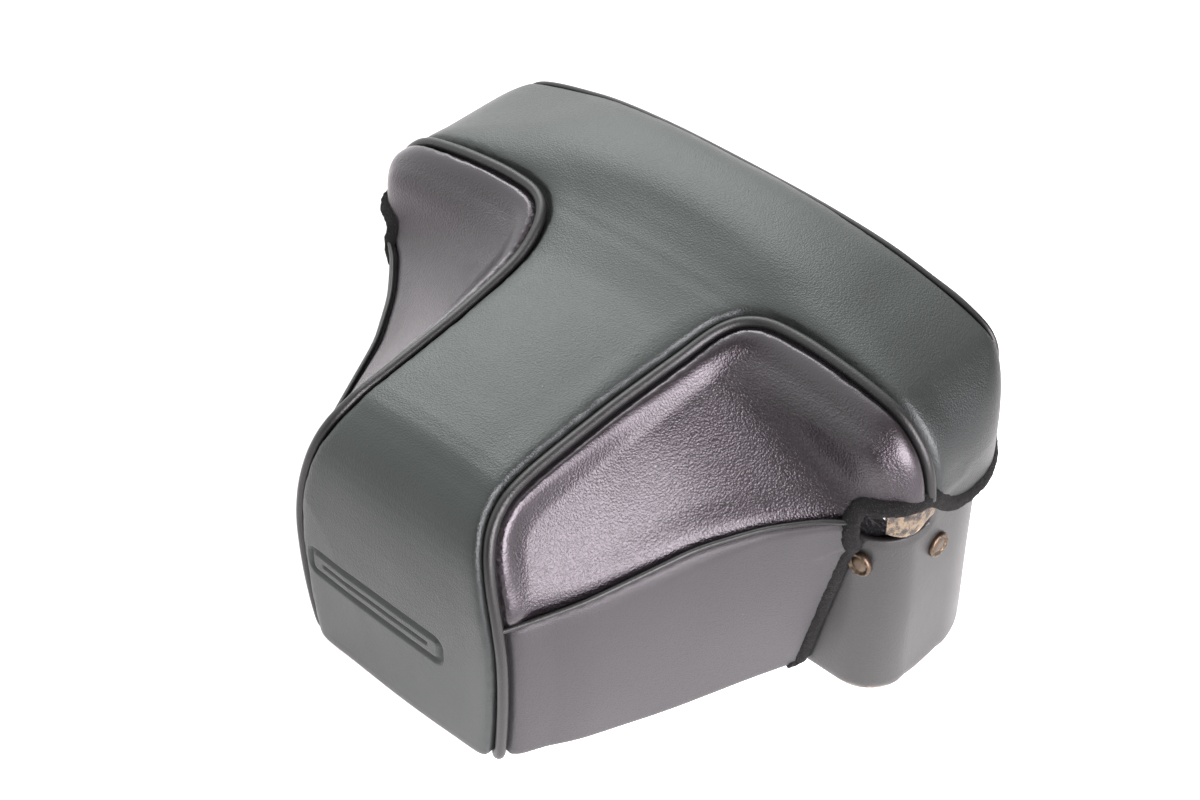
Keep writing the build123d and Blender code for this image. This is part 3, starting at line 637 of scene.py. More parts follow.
_tab = [np.interp(_yy, NOSE[:, 0], NOSE[:, i]) for i in range(1, 7)]
_k = np.exp(-0.5 * (np.arange(-24, 25) / 8.0) ** 2); _k /= _k.sum()
_tab = [np.convolve(np.pad(t, 24, mode="edge"), _k, mode="valid") for t in _tab]

def width(Y, Z):
    xb, xm, xs, zs, xt, zt = [np.interp(Y, _yy, t) for t in _tab]
    u = Z / 22.0
    v = Z / zs
    # quadratic through the bottom, middle and seam points
    q = (xs - xb - (xm - xb) * (zs / 22.0)) / (zs * zs - zs * 22.0)
    p = (xm - xb) / 22.0 - q * 22.0
    zc = np.clip(Z, 0, 60)
    low = xb + p * zc + q * zc * zc
    top = xs + (xt - xs) * (Z - zs) / (zt - zs)
    return smin(low, top, 3.0) + 0.4

def f_nose(X, Y, Z):
    w = width(Y, Z)
    wy = (width(Y + 0.5, Z) - width(Y - 0.5, Z))
    wz = (width(Y, Z + 0.5) - width(Y, Z - 0.5))
    flank = (np.abs(X) - w) / np.sqrt(1 + wy * wy + wz * wz)
    crown = 1.6 * (1 - np.clip(np.abs(X) / 20.0, 0, 1.4) ** 2) - 0.9
    side = poly_sdf(_ns, Y, Z - crown * np.clip((Z - 50) / 12, 0, 1)) - 2.5
    front_bow = 1.0 * (np.clip(np.abs(X) / 26.0, 0, 1.2) ** 2)
    side = np.maximum(side, (-81.8 + front_bow) - Y - 0.0 * Z)
    d = smax(flank, side, 2.2)
    return smax(d, -Z, 2.4)
_ns = offset_poly(NOSE_SIDE[:1] + catmull(NOSE_SIDE[1:-2], 3) + NOSE_SIDE[-2:], -2.5)
_sv = offset_poly(SIDE_VIEW[:1] + catmull(SIDE_VIEW[1:-1], 4) + SIDE_VIEW[-1:], -4.0)
_half = [p for p in FRONT_VIEW if p[0] > 0]
_half = _half[:1] + catmull(_half[1:] + [(0, 78.3), (-15, 77.6)], 4)
_half = [p for p in _half if p[0] > 0.5]
_fv = offset_poly(_half + [(0, 78.3)] + [(-x, z) for x, z in reversed(_half)], -4.0)

def f_cross(X, Y, Z):
    plan = rounded_plan(X, Y, 70.0, -23.5, 20.5, 12.0, 21.0)
    front = poly_sdf(_fv, X, Z) - 4.0
    side = poly_sdf(_sv, Y, Z) - 4.0
    d = smax(smax(front, side, 4.5), plan, 3.5)
    return np.maximum(d, 41.0 - Z)

def f_hood(X, Y, Z):
    return smin(f_cross(X, Y, Z), f_nose(X, Y, Z), 6.0) + 0.25

def z_rim(Y):
    return np.interp(Y, [-40, -13.5, -10.8, -8.2, -5.2, -1.5, 6, 13, 40],
                     [50.6, 50.6, 49.6, 46.6, 43.9, 42.6, 42.6, 43.8, 44.0])

def keep_field(X, Y, Z):
    ax = np.abs(X)
    flap = np.minimum(-21.7 - Y, np.maximum(Z - 0.7, -64.0 - Y))
    flap = np.minimum(flap, np.maximum(60.4 - ax, Z - 50.6))
    mid = np.minimum(Z - 46.6, np.minimum(60.4 - ax, -11.0 - Y))
    cross = np.minimum(Z - z_rim(Y), np.maximum(Y + 21.7, Z - 50.6))
    return np.maximum(np.maximum(flap, mid), cross)

h = 0.66
gx = np.arange(-74, 74 + h, h); gy = np.arange(-85.5, 25, h); gz = np.arange(-3, 82, h)
F = f_hood(gx[:, None, None], gy[None, :, None], gz[None, None, :])
HV, HF = surface_nets(F, (gx[0], gy[0], gz[0]), h)
del F
HV, HN = project(f_hood, HV, 2)

# smooth seam outline of the T panel, in plan
T_RIGHT = [(40, -92), (40, -79.9), (30.0, -79.7), (26.4, -79.2), (23.4, -77.9), (21.2, -75.2), (19.9, -71.2), (19.4, -66),
           (19.3, -59.6), (19.6, -45), (20.1, -36.6), (20.8, -28.5), (21.8, -22.4), (23.4, -17.8),
           (26.1, -14.4), (30.0, -12.5), (36, -11.9), (46, -12.1), (56, -12.4), (95, -12.6), (95, 60)]
_tr = T_RIGHT[:2] + catmull(T_RIGHT[2:-2], 5) + T_RIGHT[-2:]
T_PLAN = _tr + [(-x, y) for x, y in reversed(_tr)]
def t_field(V):
    return -poly_sdf(T_PLAN, V[:, 0], V[:, 1])
def seam_z(V):
    return V[:, 2] - (31.7 + (V[:, 1] + 100) * 17.9 / 88.0)

V, Fc, ex, cut_rim = clip(HV, HF, keep_field(*HV.T), [HN])
N = ex[0]
rim_lines = [(V[l], N[l], c) for l, c in chains(cut_rim)]
BACK_SEAM = 16.6
def seam_points(lines):
    return np.concatenate([resample(l[0], 0.4, l[2]) for l in lines])

def split(V, F_, N, s):
    a = clip(V, F_, s, [N])
    b = clip(V, F_, -s, [N])
    line = [(a[0][l], a[2][0][l], c) for l, c in chains(a[3])]
    return (a[0], a[1], a[2][0]), (b[0], b[1], b[2][0]), line

front_part, back_part, back_line = split(V, Fc, N, BACK_SEAM - V[:, 1])
top_part, side_part, t_line = split(*front_part, t_field(front_part[0]))
upper, lower, low_line = split(*side_part, seam_z(side_part[0]))

def dist_to(V, pts):
    kd = KDTree(len(pts))
    for i, p in enumerate(pts):
        kd.insert(p, i)
    kd.balance()
    return np.array([kd.find(v)[2] for v in V])

t_pts = seam_points(t_line)
back_pts = seam_points(back_line)
low_pts = seam_points(low_line)
rim_pts = seam_points(rim_lines)

def sm(x, a, b):
    t = np.clip((x - a) / (b - a), 0, 1)
    return t * t * (3 - 2 * t)

def build_panel(name, part, body, mat, height, thick=1.25, extra=None):
    V, F_, N = part
    d_t = dist_to(V, t_pts); d_b = dist_to(V, back_pts); d_l = dist_to(V, low_pts); d_r = dist_to(V, rim_pts)
    H, gutter_shade_mask, rim = height(V, N, d_t, d_b, d_l, d_r)
    W = V + N * H[:, None]
    o = put(name, W, F_, body)
    # the gutter mask drives painted shade (near-black colour) in the seam grooves
    set_attr(o, "gutter_shade", gutter_shade_mask); set_attr(o, "rim", rim)
    bm = bmesh.new(); bm.from_mesh(o.data)
    bmesh.ops.recalc_face_normals(bm, faces=bm.faces)
    bmesh.ops.remove_doubles(bm, verts=bm.verts, dist=2e-5)
    bm.normal_update()
    # normals must point outwards: the nose and crossbar bulge away from the inside
    c = Vector((0, (OY - 20) * MM, 0.035))
    vote = sum((f.calc_center_median() - c).dot(f.normal) * f.calc_area() for f in bm.faces)
    if vote < 0:
        bmesh.ops.reverse_faces(bm, faces=bm.faces)
    bm.to_mesh(o.data); bm.free()
    o.data.shade_smooth()
    solidify(o, thick)
    dress(o, mat)
    return o

def fine_noise(V, s, seed=0.0):
    return np.array([noise.noise(Vector((v[0] * s + seed, v[1] * s, v[2] * s))) for v in V])

def mark(V):
    """Plain sunk double rule on the front face."""
    u = V[:, 0] + 5.0; w = V[:, 2] - 22.6
    q = np.abs(u) - 16.2; r = np.abs(w) - 1.1
    box_ = np.hypot(np.maximum(q, 0), np.maximum(r, 0)) + np.minimum(np.maximum(q, r), 0) - 1.6
    ring = sm(-np.abs(box_), -0.95, -0.35)
    bars = sm(-np.abs(w), -0.55, -0.1) * sm(-np.abs(u), -14.6, -13.8)
    m = np.maximum(ring, bars)
    return m * (V[:, 1] < -78)

def h_top(V, N, dt, db, dl, dr):
    dt2 = dt + fine_noise(V, 0.35) * 0.22
    edge = 1 - sm(dt2, 1.0, 2.7)
    H = -1.45 * edge + 0.12 * sm(dt, 2.0, 4.0) * (1 - sm(dt, 4.0, 9.0))
    H += -0.9 * (1 - sm(db, 0.5, 1.5))
    H += fine_noise(V, 0.06) * 0.22 * sm(dt, 3, 10)
    H += -0.55 * mark(V)
    # painted shade mask: the seam gutters, and at 0.45 the sunk rule of the mark, are darkened through it
    gutter_shade_mask = np.maximum(1 - sm(dt2, 1.3, 2.4), 1 - sm(db, 0.5, 1.1))
    gutter_shade_mask = np.maximum(gutter_shade_mask, mark(V) * 0.45)
    return H, gutter_shade_mask, np.zeros(len(V))

def h_back(V, N, dt, db, dl, dr):
    H = -0.9 * (1 - sm(db, 0.5, 1.5)) + fine_noise(V, 0.06) * 0.15
    # the second value marks the back seam gutter for painted shade
    return H, 1 - sm(db, 0.5, 1.1), np.zeros(len(V))

def h_pocket(V, N, dt, db, dl, dr):
    H = -1.6 * (1 - sm(dt, 1.0, 2.2))
    roll = sm(dt, 0.9, 2.2) * (1 - sm(dt, 3.4, 6.4))
    H += 0.40 - 1.15 * sm(dt, 3.0, 7.6)
    H += -0.6 * (1 - sm(dl, 0.3, 1.4)) + 0.25 * sm(dl, 1.2, 3) * (1 - sm(dl, 3, 8))
    # low noise undulation over the field away from the seam, the valley where the snout's side turns into the body's
    # front included
    H += fine_noise(V, 0.045) * 0.35 * sm(dt, 5, 12)
    # painted shade mask for the seam gutters at the piping and the lower seam
    gutter_shade_mask = np.maximum(1 - sm(dt, 1.2, 1.95), 1 - sm(dl, 0.35, 0.8))
    return H, gutter_shade_mask, roll

def h_low(V, N, dt, db, dl, dr):
    H = -1.35 * (1 - sm(dt, 1.0, 2.4)) - 0.5 * (1 - sm(dl, 0.3, 1.2))
    H += 0.35 * sm(dt, 1.5, 4) * (1 - sm(dt, 4, 10)) + fine_noise(V, 0.05, 5.0) * 0.3 * sm(dt, 3, 9)
    # painted shade mask for the seam gutters at the piping and the lower seam
    gutter_shade_mask = np.maximum(1 - sm(dt, 1.2, 2.0), 1 - sm(dl, 0.35, 0.8))
    return H, gutter_shade_mask, 0.5 * np.ones(len(V))

def halves(part):
    V, F_, N = part
    a = clip(V, F_, V[:, 0], [N]); b = clip(V, F_, -V[:, 0], [N])
    return (a[0], a[1], a[2][0]), (b[0], b[1], b[2][0])

# the front face carries the sunk mark, so it is divided finer there
def refine(part, test, times=1):
    V, F_, N = part
    for _ in range(times):
        mid = {}; Vn = list(V); Nn = list(N); out = []
        cen = np.array([V[f].mean(0) for f in F_])
        pick = test(cen)
        marked = set()
        for f, p in zip(F_, pick):
            if p:
                m = len(f)
                for i in range(m):
                    marked.add((min(f[i], f[(i + 1) % m]), max(f[i], f[(i + 1) % m])))
        for e in marked:
            mid[e] = len(Vn); Vn.append((V[e[0]] + V[e[1]]) / 2); Nn.append((N[e[0]] + N[e[1]]) / 2)
        for f, p in zip(F_, pick):
            m = len(f)
            if p:
                c = len(Vn); Vn.append(V[f].mean(0)); Nn.append(N[f].mean(0))
                for i in range(m):
                    a = f[i]
                    e1 = mid[(min(a, f[(i + 1) % m]), max(a, f[(i + 1) % m]))]
                    e0 = mid[(min(a, f[i - 1]), max(a, f[i - 1]))]
                    out.append([a, e1, c, e0])
            else:
                g = []
                for i in range(m):
                    g.append(f[i])
                    k = (min(f[i], f[(i + 1) % m]), max(f[i], f[(i + 1) % m]))
                    if k in mid:
                        g.append(mid[k])
                out.append(g)
        V = np.array(Vn); N = np.array(Nn); N /= np.linalg.norm(N, axis=1)[:, None]; F_ = out
    return V, F_, N

top_part = refine(top_part, lambda c: (c[:, 1] < -77) & (np.abs(c[:, 0] + 5) < 19.5) & (np.abs(c[:, 2] - 22.6) < 4.2))

hood_top = build_panel("hood_top_skin", top_part, "hood", "panel", h_top)
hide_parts("hood_top_panel")
hood_back = build_panel("hood_back_skin", back_part, "hood", "panel", h_back)
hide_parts("hood_back_panel")
for part, nm, sl, mt, hf in ((upper, "side", "pocket_leather", "pocket", h_pocket), (lower, "lower", "flap_leather", "flap", h_low)):
    for half, side in zip(halves(part), ("right", "left")):
        o = build_panel("hood_%s_skin_%s" % (nm, side), half, "hood", mt, hf)
        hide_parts("hood_%s_panel_%s" % (nm, side))

# piping: rolled cords on the seams
def cord_on(name, line, r, lift, side, nodes, step=0.5, mat="pipe"):
    P = resample(line[0], step, line[2], smooth=6)
    kd = KDTree(len(HV))
    for i, p in enumerate(HV):
        kd.insert(p, i)
    kd.balance()
    Nn = np.array([HN[kd.find(p)[1]] for p in P])
    for _ in range(10):
        Nn[1:-1] = (Nn[:-2] + 2 * Nn[1:-1] + Nn[2:]) / 4
    Nn /= np.linalg.norm(Nn, axis=1)[:, None]
    P = P + Nn * lift
    o = sweep(name, P, Nn, circle(r, 14), "hood", closed=line[2])
    dress(o, mat)
    if nodes:
        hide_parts(*nodes)
    return o

t_sorted = sorted(t_line, key=lambda l: -len(l[0]))[:2]
for l in t_sorted:
    side = "right" if l[0][:, 0].mean() > 0 else "left"
    cord_on("piping_roll_" + side, l, 1.1, -0.30, side, ["piping_" + side])
bl = sorted(back_line, key=lambda l: -len(l[0]))[0]
cord_on("back_piping_roll", bl, 0.62, -0.25, "", ["back_piping"])
low_sorted = sorted(low_line, key=lambda l: -len(l[0]))[:2]
for i, l in enumerate(low_sorted):
    cord_on("lower_seam_roll_" + ("right" if l[0][:, 0].mean() > 0 else "left"), l, 0.5, -0.05, "", ["lower_seam_cords"] if i == 0 else [])

# fuzzy felt binding round the rim
def fuzz(V, P, N):
    n, m, _ = V.shape
    out = np.zeros_like(V)
    c = V.mean(1, keepdims=True)
    d = V - c
    for i in range(n):
        for j in range(m):
            v = V[i, j]
            k = noise.noise(Vector((v[0] * 1.6, v[1] * 1.6, v[2] * 1.6))) * 0.17 + noise.noise(Vector((v[0] * 0.5, v[1] * 0.5, v[2] * 0.5))) * 0.08
            out[i, j] = d[i, j] * k
    return out
done = False
for k, l in enumerate(sorted(rim_lines, key=lambda l: -len(l[0]))):
    if len(l[0]) < 12:
        continue
    P = resample(l[0], 0.7, l[2], smooth=8)
    kd = KDTree(len(HV))
    for i, p in enumerate(HV):
        kd.insert(p, i)
    kd.balance()
    # leave the chin and the plain folded bottom edges alone
    Nn = np.array([HN[kd.find(p)[1]] for p in P])
    keepm = ~((P[:, 1] < -24.5))
    segs = []; cur = []
    order = list(range(len(P)))
    if l[2] and not keepm.all():
        s0 = next(i for i in order if not keepm[i])
        order = order[s0:] + order[:s0]
    for i in order:
        if keepm[i]:
            cur.append(i)
        elif cur:
            segs.append(cur); cur = []
    if cur:
        segs.append(cur)
    for sgi, sg in enumerate(segs):
        if len(sg) < 8:
            continue
        Q = P[sg]; Qn = Nn[sg]
        for _ in range(12):
            Qn[1:-1] = (Qn[:-2] + 2 * Qn[1:-1] + Qn[2:]) / 4
        Qn /= np.linalg.norm(Qn, axis=1)[:, None]
        prof = [(1.75 * math.cos(a), -0.75 + 1.55 * math.sin(a)) for a in np.linspace(0, 2 * math.pi, 19)[:-1]]
        o = sweep("rim_binding_%d_%d" % (k, sgi), Q, Qn, prof, "hood", jitter=fuzz)
        dress(o, "felt")
        if not done:
            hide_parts("hood_binding"); done = True

# lining inside the hood
Vl, Fl, exl, _ = clip(V, Fc, keep_field(*V.T) - 1.2, [N])
_dt = dist_to(Vl, t_pts); _dl = dist_to(Vl, low_pts); _db = dist_to(Vl, back_pts)
_in = 1.62 + 1.15 * (1 - sm(_dt, 1.6, 3.6)) + 0.55 * (1 - sm(_dl, 1.0, 2.4)) + 0.85 * (1 - sm(_db, 1.2, 2.4))
_pk = sm(-t_field(Vl), 2.0, 5.0) * sm(seam_z(Vl), -1.0, 1.0)
_in = np.maximum(_in, 2.45 * _pk)
_in = np.minimum(_in, 2.9)
lin = put("hood_lining_cloth", Vl - exl[0] * _in[:, None], Fl, "hood")
bm = bmesh.new(); bm.from_mesh(lin.data)
bmesh.ops.recalc_face_normals(bm, faces=bm.faces)
bm.to_mesh(lin.data); bm.free()
solidify(lin, 0.5, offset=0.0)
dress(lin, "lining")
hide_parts("hood_lining")

# ------------------------------------------------------------------ half case
def f_case(X, Y, Z):
    return smax(rounded_plan(X, Y, 67.0, -20.5, 17.5, 9.0, 18.0), -Z, 2.6)
hc = 0.9
gx = np.arange(-69, 69 + hc, hc); gy = np.arange(-23, 20.5, hc); gz = np.arange(-2, 53, hc)
CF = f_case(gx[:, None, None], gy[None, :, None], gz[None, None, :])
CV, CQ = surface_nets(CF, (gx[0], gy[0], gz[0]), hc)
CV, CN = project(f_case, CV, 3)
def case_keep(V, top, grow=0.0):
    X, Y, Z = V.T
    ax = np.abs(X)
    cut1 = np.minimum(46 + grow - ax, Z - (20 - grow))
    cut2 = np.minimum(40 + grow - ax, Z - (14 - grow))
    cut3 = 26.6 + grow - np.hypot(X, Z - 34)
    lens = smax(smax(cut1, cut2, 3.0), cut3, 3.0)
    lens = np.where(Y < -5, lens, -50.0)
    notch = np.minimum(np.minimum(ax - (57.6 - grow), -(8.6 - grow) - Y), Z - (40 - grow))
    return -np.maximum(np.maximum(lens, notch), Z - top)
Vc, Fcc, exc, cutc = clip(CV, CQ, case_keep(CV, 50.0), [CN])
Nc = exc[0]
case_rim = [(Vc[l], Nc[l], c) for l, c in chains(cutc)]
dcr = dist_to(Vc, seam_points(case_rim))
Hc = -0.35 * (1 - sm(dcr, 0.0, 1.2)) + fine_noise(Vc, 0.05, 3.0) * 0.16 * sm(Vc[:, 2], 1.0, 6.0)
# chips along the foot
chip = (1 - sm(Vc[:, 2], 0.6, 2.6)) * np.clip(fine_noise(Vc, 0.30, 9.0) * 1.6 - 0.35, 0, 1)
Hc -= chip * 0.5 * (Vc[:, 2] > 0.2)
shell = put("half_case_leather", Vc + Nc * Hc[:, None], Fcc, "case_and_camera")
edge_w = (1 - sm(Vc[:, 2], 0.4, 2.2)) * 0.9 * (Vc[:, 2] > 0.02)
corner = 1 - sm(np.abs(np.hypot(np.abs(Vc[:, 0]) - 62, Vc[:, 1] + 15)), 0, 9)
set_attr(shell, "wear", np.clip(edge_w, 0, 1) * (0.25 + 0.75 * np.clip(corner, 0, 1)))
set_attr(shell, "rim", np.zeros(len(Vc)))
bm = bmesh.new(); bm.from_mesh(shell.data)
bmesh.ops.recalc_face_normals(bm, faces=bm.faces)
c0 = Vector((0, OY * MM, 0.025))
if sum((f.calc_center_median() - c0).dot(f.normal) * f.calc_area() for f in bm.faces) < 0:
    bmesh.ops.reverse_faces(bm, faces=bm.faces)
bm.to_mesh(shell.data); bm.free()
solidify(shell, 1.35)
dress(shell, "case")
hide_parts("half_case_shell")

# stitch capsules, used for the tongue and keeper stitching
def capsules(name, pts, dirs, ups, L, r, body, mat):
    V = []; F = []
    for p, d, u in zip(pts, dirs, ups):
        d = np.array(d) / np.linalg.norm(d); u = np.array(u) / np.linalg.norm(u)
        s = np.cross(d, u)
        b0 = len(V)
        for t, rr in ((-0.5, 0.35), (-0.36, 0.9), (0, 1.0), (0.36, 0.9), (0.5, 0.35)):
            for j in range(8):
                a = j * math.pi / 4
                V.append(p + d * L * t + (s * math.cos(a) + u * math.sin(a)) * r * rr)
        for i in range(4):
            for j in range(8):
                j2 = (j + 1) % 8
                F.append((b0 + i * 8 + j, b0 + (i + 1) * 8 + j, b0 + (i + 1) * 8 + j2, b0 + i * 8 + j2))
        F.append(tuple(b0 + j for j in range(8))); F.append(tuple(b0 + 32 + 7 - j for j in range(8)))
    o = put(name, np.array(V), F, body)
    bm = bmesh.new(); bm.from_mesh(o.data)
    bmesh.ops.recalc_face_normals(bm, faces=bm.faces)
    bm.to_mesh(o.data); bm.free()
    dress(o, mat)
    return o

# red pile lining in the half case
lv, lf, lex, _ = clip(CV, CQ, np.minimum(case_keep(CV, 49.4, 0.5), CV[:, 2] - 4.6), [CN])
cl = put("half_case_lining_wall", lv - lex[0] * 1.72, lf, "case_and_camera")
bm = bmesh.new(); bm.from_mesh(cl.data); bmesh.ops.recalc_face_normals(bm, faces=bm.faces); bm.to_mesh(cl.data); bm.free()
solidify(cl, 0.5, offset=0.0)
dress(cl, "lining")
def disc_plan(hw, y0, y1, rf, rb, n=16):
    P = []
    for cx, cy, r, a0 in ((hw - rf, y0 + rf, rf, -90), (hw - rb, y1 - rb, rb, 0), (-hw + rb, y1 - rb, rb, 90), (-hw + rf, y0 + rf, rf, 180)):
        for i in range(n + 1):
            a = math.radians(a0 + 90 * i / n)
            P.append((cx + r * math.cos(a), cy + r * math.sin(a)))
    return P
pl = disc_plan(65.2, -18.7, 15.7, 7.2, 16.2)
def slab(name, outline, hole_r, hc_, z0, z1, body, mat):
    """Flat pad with a round hole."""
    n = len(outline)
    hole = []
    for (x, y) in outline:
        a = math.atan2(y - hc_[1], x - hc_[0])
        hole.append((hc_[0] + hole_r * math.cos(a), hc_[1] + hole_r * math.sin(a)))
    rings = []
    for z, g in ((z0, 0.0), (z1 - 0.2, 0.0), (z1, -0.2)):
        rings.append([(x * (1 + g / 65), y * (1 + g / 20), z) for x, y in outline])
    for k in (0.5, 1.0):
        rings.append([(o_[0] + (h_[0] - o_[0]) * k, o_[1] + (h_[1] - o_[1]) * k, z1) for o_, h_ in zip(outline, hole)])
    rings.append([(h_[0], h_[1], z0) for h_ in hole])
    V = [p for r in rings for p in r]; F = []
    m = len(rings)
    for i in range(m):
        i2 = (i + 1) % m
        for j in range(n):
            j2 = (j + 1) % n
            F.append((i * n + j, i * n + j2, i2 * n + j2, i2 * n + j))
    o = put(name, V, F, body, smooth=False)
    bm = bmesh.new(); bm.from_mesh(o.data); bmesh.ops.recalc_face_normals(bm, faces=bm.faces); bm.to_mesh(o.data); bm.free()
    sharp(o)
    dress(o, mat)
    return o
fl = slab("half_case_lining_floor", pl, 10.6, (0, -1.5), 3.25, 3.95, "case_and_camera", "lining")
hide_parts("half_case_lining")
bd = slab("half_case_fibre_board", pl, 10.4, (0, -1.5), 1.45, 3.2, "case_and_camera", "board")
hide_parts("half_case_board")

# ------------------------------------------------------------------ rivets
def rivet(name, at, axis, r, proud):
    n = 48; prof = []
    hs = [(0, proud * 0.86), (0.30, proud * 0.86), (0.52, proud * 0.80), (0.60, proud * 0.60), (0.66, proud * 0.58),
          (0.74, proud * 0.78), (0.84, proud * 1.0), (0.94, proud * 0.92), (1.0, proud * 0.55), (1.0, -0.4), (0, -0.4)]
    V = []; F = []
    m = len(hs)
    for i in range(n):
        a = 2 * math.pi * i / n
        for j, (q, h_) in enumerate(hs):
            rr = q * r
            hh = h_ + (0.10 * math.cos(12 * a) if j in (5, 6) else 0.0)
            V.append((rr * math.cos(a), rr * math.sin(a), hh))
    for i in range(n):
        i2 = (i + 1) % n
        for j in range(m - 1):
            F.append((i * m + j, i2 * m + j, i2 * m + j + 1, i * m + j + 1))
    V = np.array(V)
    ax = np.array(axis, float)
    up = np.array((0, 0, 1.0)); s = np.cross(up, ax); s /= np.linalg.norm(s)
    W = np.array(at) + V[:, :1] * s + V[:, 1:2] * up + V[:, 2:3] * ax
    o = put(name, W, F, "case_and_camera")
    bm = bmesh.new(); bm.from_mesh(o.data)
    bmesh.ops.remove_doubles(bm, verts=bm.verts, dist=1e-6)
    bmesh.ops.recalc_face_normals(bm, faces=bm.faces)
    bm.to_mesh(o.data); bm.free()
    o.data.shade_smooth()
    dress(o, "rivet")
    return o
for s, sd in ((1, "right"), (-1, "left")):
    rivet("front_rivet_" + sd, (s * 60.6, -20.45, 34.4), (0, -1, 0), 2.6, 0.85)
    rivet("side_rivet_" + sd, (s * 66.95, -5.6, 33.0), (s, 0, 0), 2.6, 0.85)
    rivet("keeper_rivet_" + sd, (s * 20, 18.9, 29.0), (0, 1, 0), 2.3, 0.85)
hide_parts("case_rivets")

# ------------------------------------------------------------------ straps
def ribbon(name, P, U, half, thick, body, mat, puff=0.0, crease=None):
    """Flat leather strip along P; U = direction across."""
    P = np.asarray(P, float); U = np.asarray(U, float)
    U = U / np.linalg.norm(U, axis=1)[:, None]
    T = np.gradient(P, axis=0); T /= np.linalg.norm(T, axis=1)[:, None]
    W = np.cross(T, U)
    prof = []
    k = 14
    for i in range(k + 1):
        u = -1 + 2 * i / k
        e = min(1.0, (1 - abs(u)) * half / 0.45)
        prof.append((u, (0.5 + puff * (1 - u * u)) * math.sqrt(max(0.06, 1 - (1 - e) ** 2))))
    V = []; m = 2 * (k + 1)
    for p, uu, ww in zip(P, U, W):
        for u, t in prof:
            V.append(p + uu * half * u + ww * thick * t)
        for u, t in reversed(prof):
            V.append(p + uu * half * u - ww * thick * 0.5 * min(1, t * 2))
    F = []
    for i in range(len(P) - 1):
        for j in range(m):
            j2 = (j + 1) % m
            F.append((i * m + j, (i + 1) * m + j, (i + 1) * m + j2, i * m + j2))
    F.append(tuple(range(m))); F.append(tuple(reversed(range((len(P) - 1) * m, len(P) * m))))
    V = np.array(V)
    o = put(name, V, F, body)
    bm = bmesh.new(); bm.from_mesh(o.data); bmesh.ops.recalc_face_normals(bm, faces=bm.faces); bm.to_mesh(o.data); bm.free()
    sharp(o, 60)
    dress(o, mat)
    return o

# worn strap ends in the corner notches
first = None
for s, sd in ((1, "right"), (-1, "left")):
    pts = []; ups = []
    for t in np.linspace(0, 1, 26):
        # hangs round the case corner, sagging in the middle
        d = 5.6 + t * 11.0; arc = math.pi / 2 * 8.0
        if d < arc:
            a = d / 8.0
            x, y = 58.6 + 8.0 * math.sin(a), -19.9 + 8.0 * (1 - math.cos(a))
        else:
            x, y = 66.6, -11.9 + (d - arc)
        z = 45.0 - 1.5 * math.sin(math.pi * min(1.0, t * 1.15))
        pts.append((s * x, y, z)); ups.append((0, 0, 1))
    o = ribbon("corner_strap_" + sd, pts, ups, 2.7, 1.0, "case_and_camera", "strap", puff=0.3)
    n = len(o.data.vertices)
    co = np.zeros(n * 3); o.data.vertices.foreach_get("co", co); co = co.reshape(-1, 3)
    zz = co[:, 2] / MM
    set_attr(o, "wear", np.clip(np.maximum(1 - sm(zz, 41.0, 42.4), 0.9 * sm(zz, 46.4, 47.4)) + 0.42, 0, 1))
    set_attr(o, "rim", np.zeros(n))
    if first is None:
        first = o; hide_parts("corner_straps")

# back keeper loop and the hood's tongue
path = [(-23.6, 18.25), (-20, 18.25), (-16.6, 18.25), (-15.4, 18.9), (-14.9, 20.2), (-14.0, 21.0), (-12.6, 21.2), (-6, 21.2), (0, 21.2), (6, 21.2), (12.6, 21.2), (14.0, 21.0), (14.9, 20.2), (15.4, 18.9), (16.6, 18.25), (20, 18.25), (23.6, 18.25)]
pp = resample(np.array([(x, y, 29.0) for x, y in catmull(path, 4)]), 0.6, smooth=2)
kp = ribbon("back_keeper_loop", pp, [(0, 0, 1)] * len(pp), 4.9, 1.15, "case_and_camera", "case")
n = len(kp.data.vertices); set_attr(kp, "wear", np.zeros(n)); set_attr(kp, "rim", np.zeros(n))
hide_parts("back_keeper")
tv = []; tz = np.r_[np.linspace(44.0, 20.0, 30), 20 - 12.5 * np.sin(np.linspace(0.06, math.pi / 2 * 0.985, 18))]
V_ = []; F_ = []
k = 17
for z in tz:
    hw = 12.55 if z > 20 else 12.55 * math.sqrt(max(0.002, 1 - ((20 - z) / 12.6) ** 2))
    hw = max(hw, 0.8)
    for j in range(k):
        u = -1 + 2 * j / (k - 1)
        e = min(1.0, (1 - abs(u)) * hw / 0.5)
        pad = 0.16 * (1 - min(1, abs(abs(u) * hw - hw + 3.2) / 1.2)) if hw > 5 else 0
        V_.append((u * hw, 19.0 + 0.78 * math.sqrt(max(0.05, 1 - (1 - e) ** 2)) - 0.0 * pad - (0.12 if abs(hw - abs(u) * hw - 2.4) < 0.5 else 0), z))
    for j in reversed(range(k)):
        u = -1 + 2 * j / (k - 1)
        V_.append((u * hw, 18.2, z))
m = 2 * k
for i in range(len(tz) - 1):
    for j in range(m):
        j2 = (j + 1) % m
        F_.append((i * m + j, (i + 1) * m + j, (i + 1) * m + j2, i * m + j2))
F_.append(tuple(range(m))); F_.append(tuple(reversed(range((len(tz) - 1) * m, len(tz) * m))))
tg = put("hood_back_tongue", V_, F_, "hood")
bm = bmesh.new(); bm.from_mesh(tg.data); bmesh.ops.recalc_face_normals(bm, faces=bm.faces); bm.to_mesh(tg.data); bm.free()
sharp(tg, 60)
n = len(tg.data.vertices); set_attr(tg, "gutter_shade", np.zeros(n)); set_attr(tg, "rim", np.zeros(n))
dress(tg, "panel")
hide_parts("back_tongue")
sp, sd_, su = [], [], []
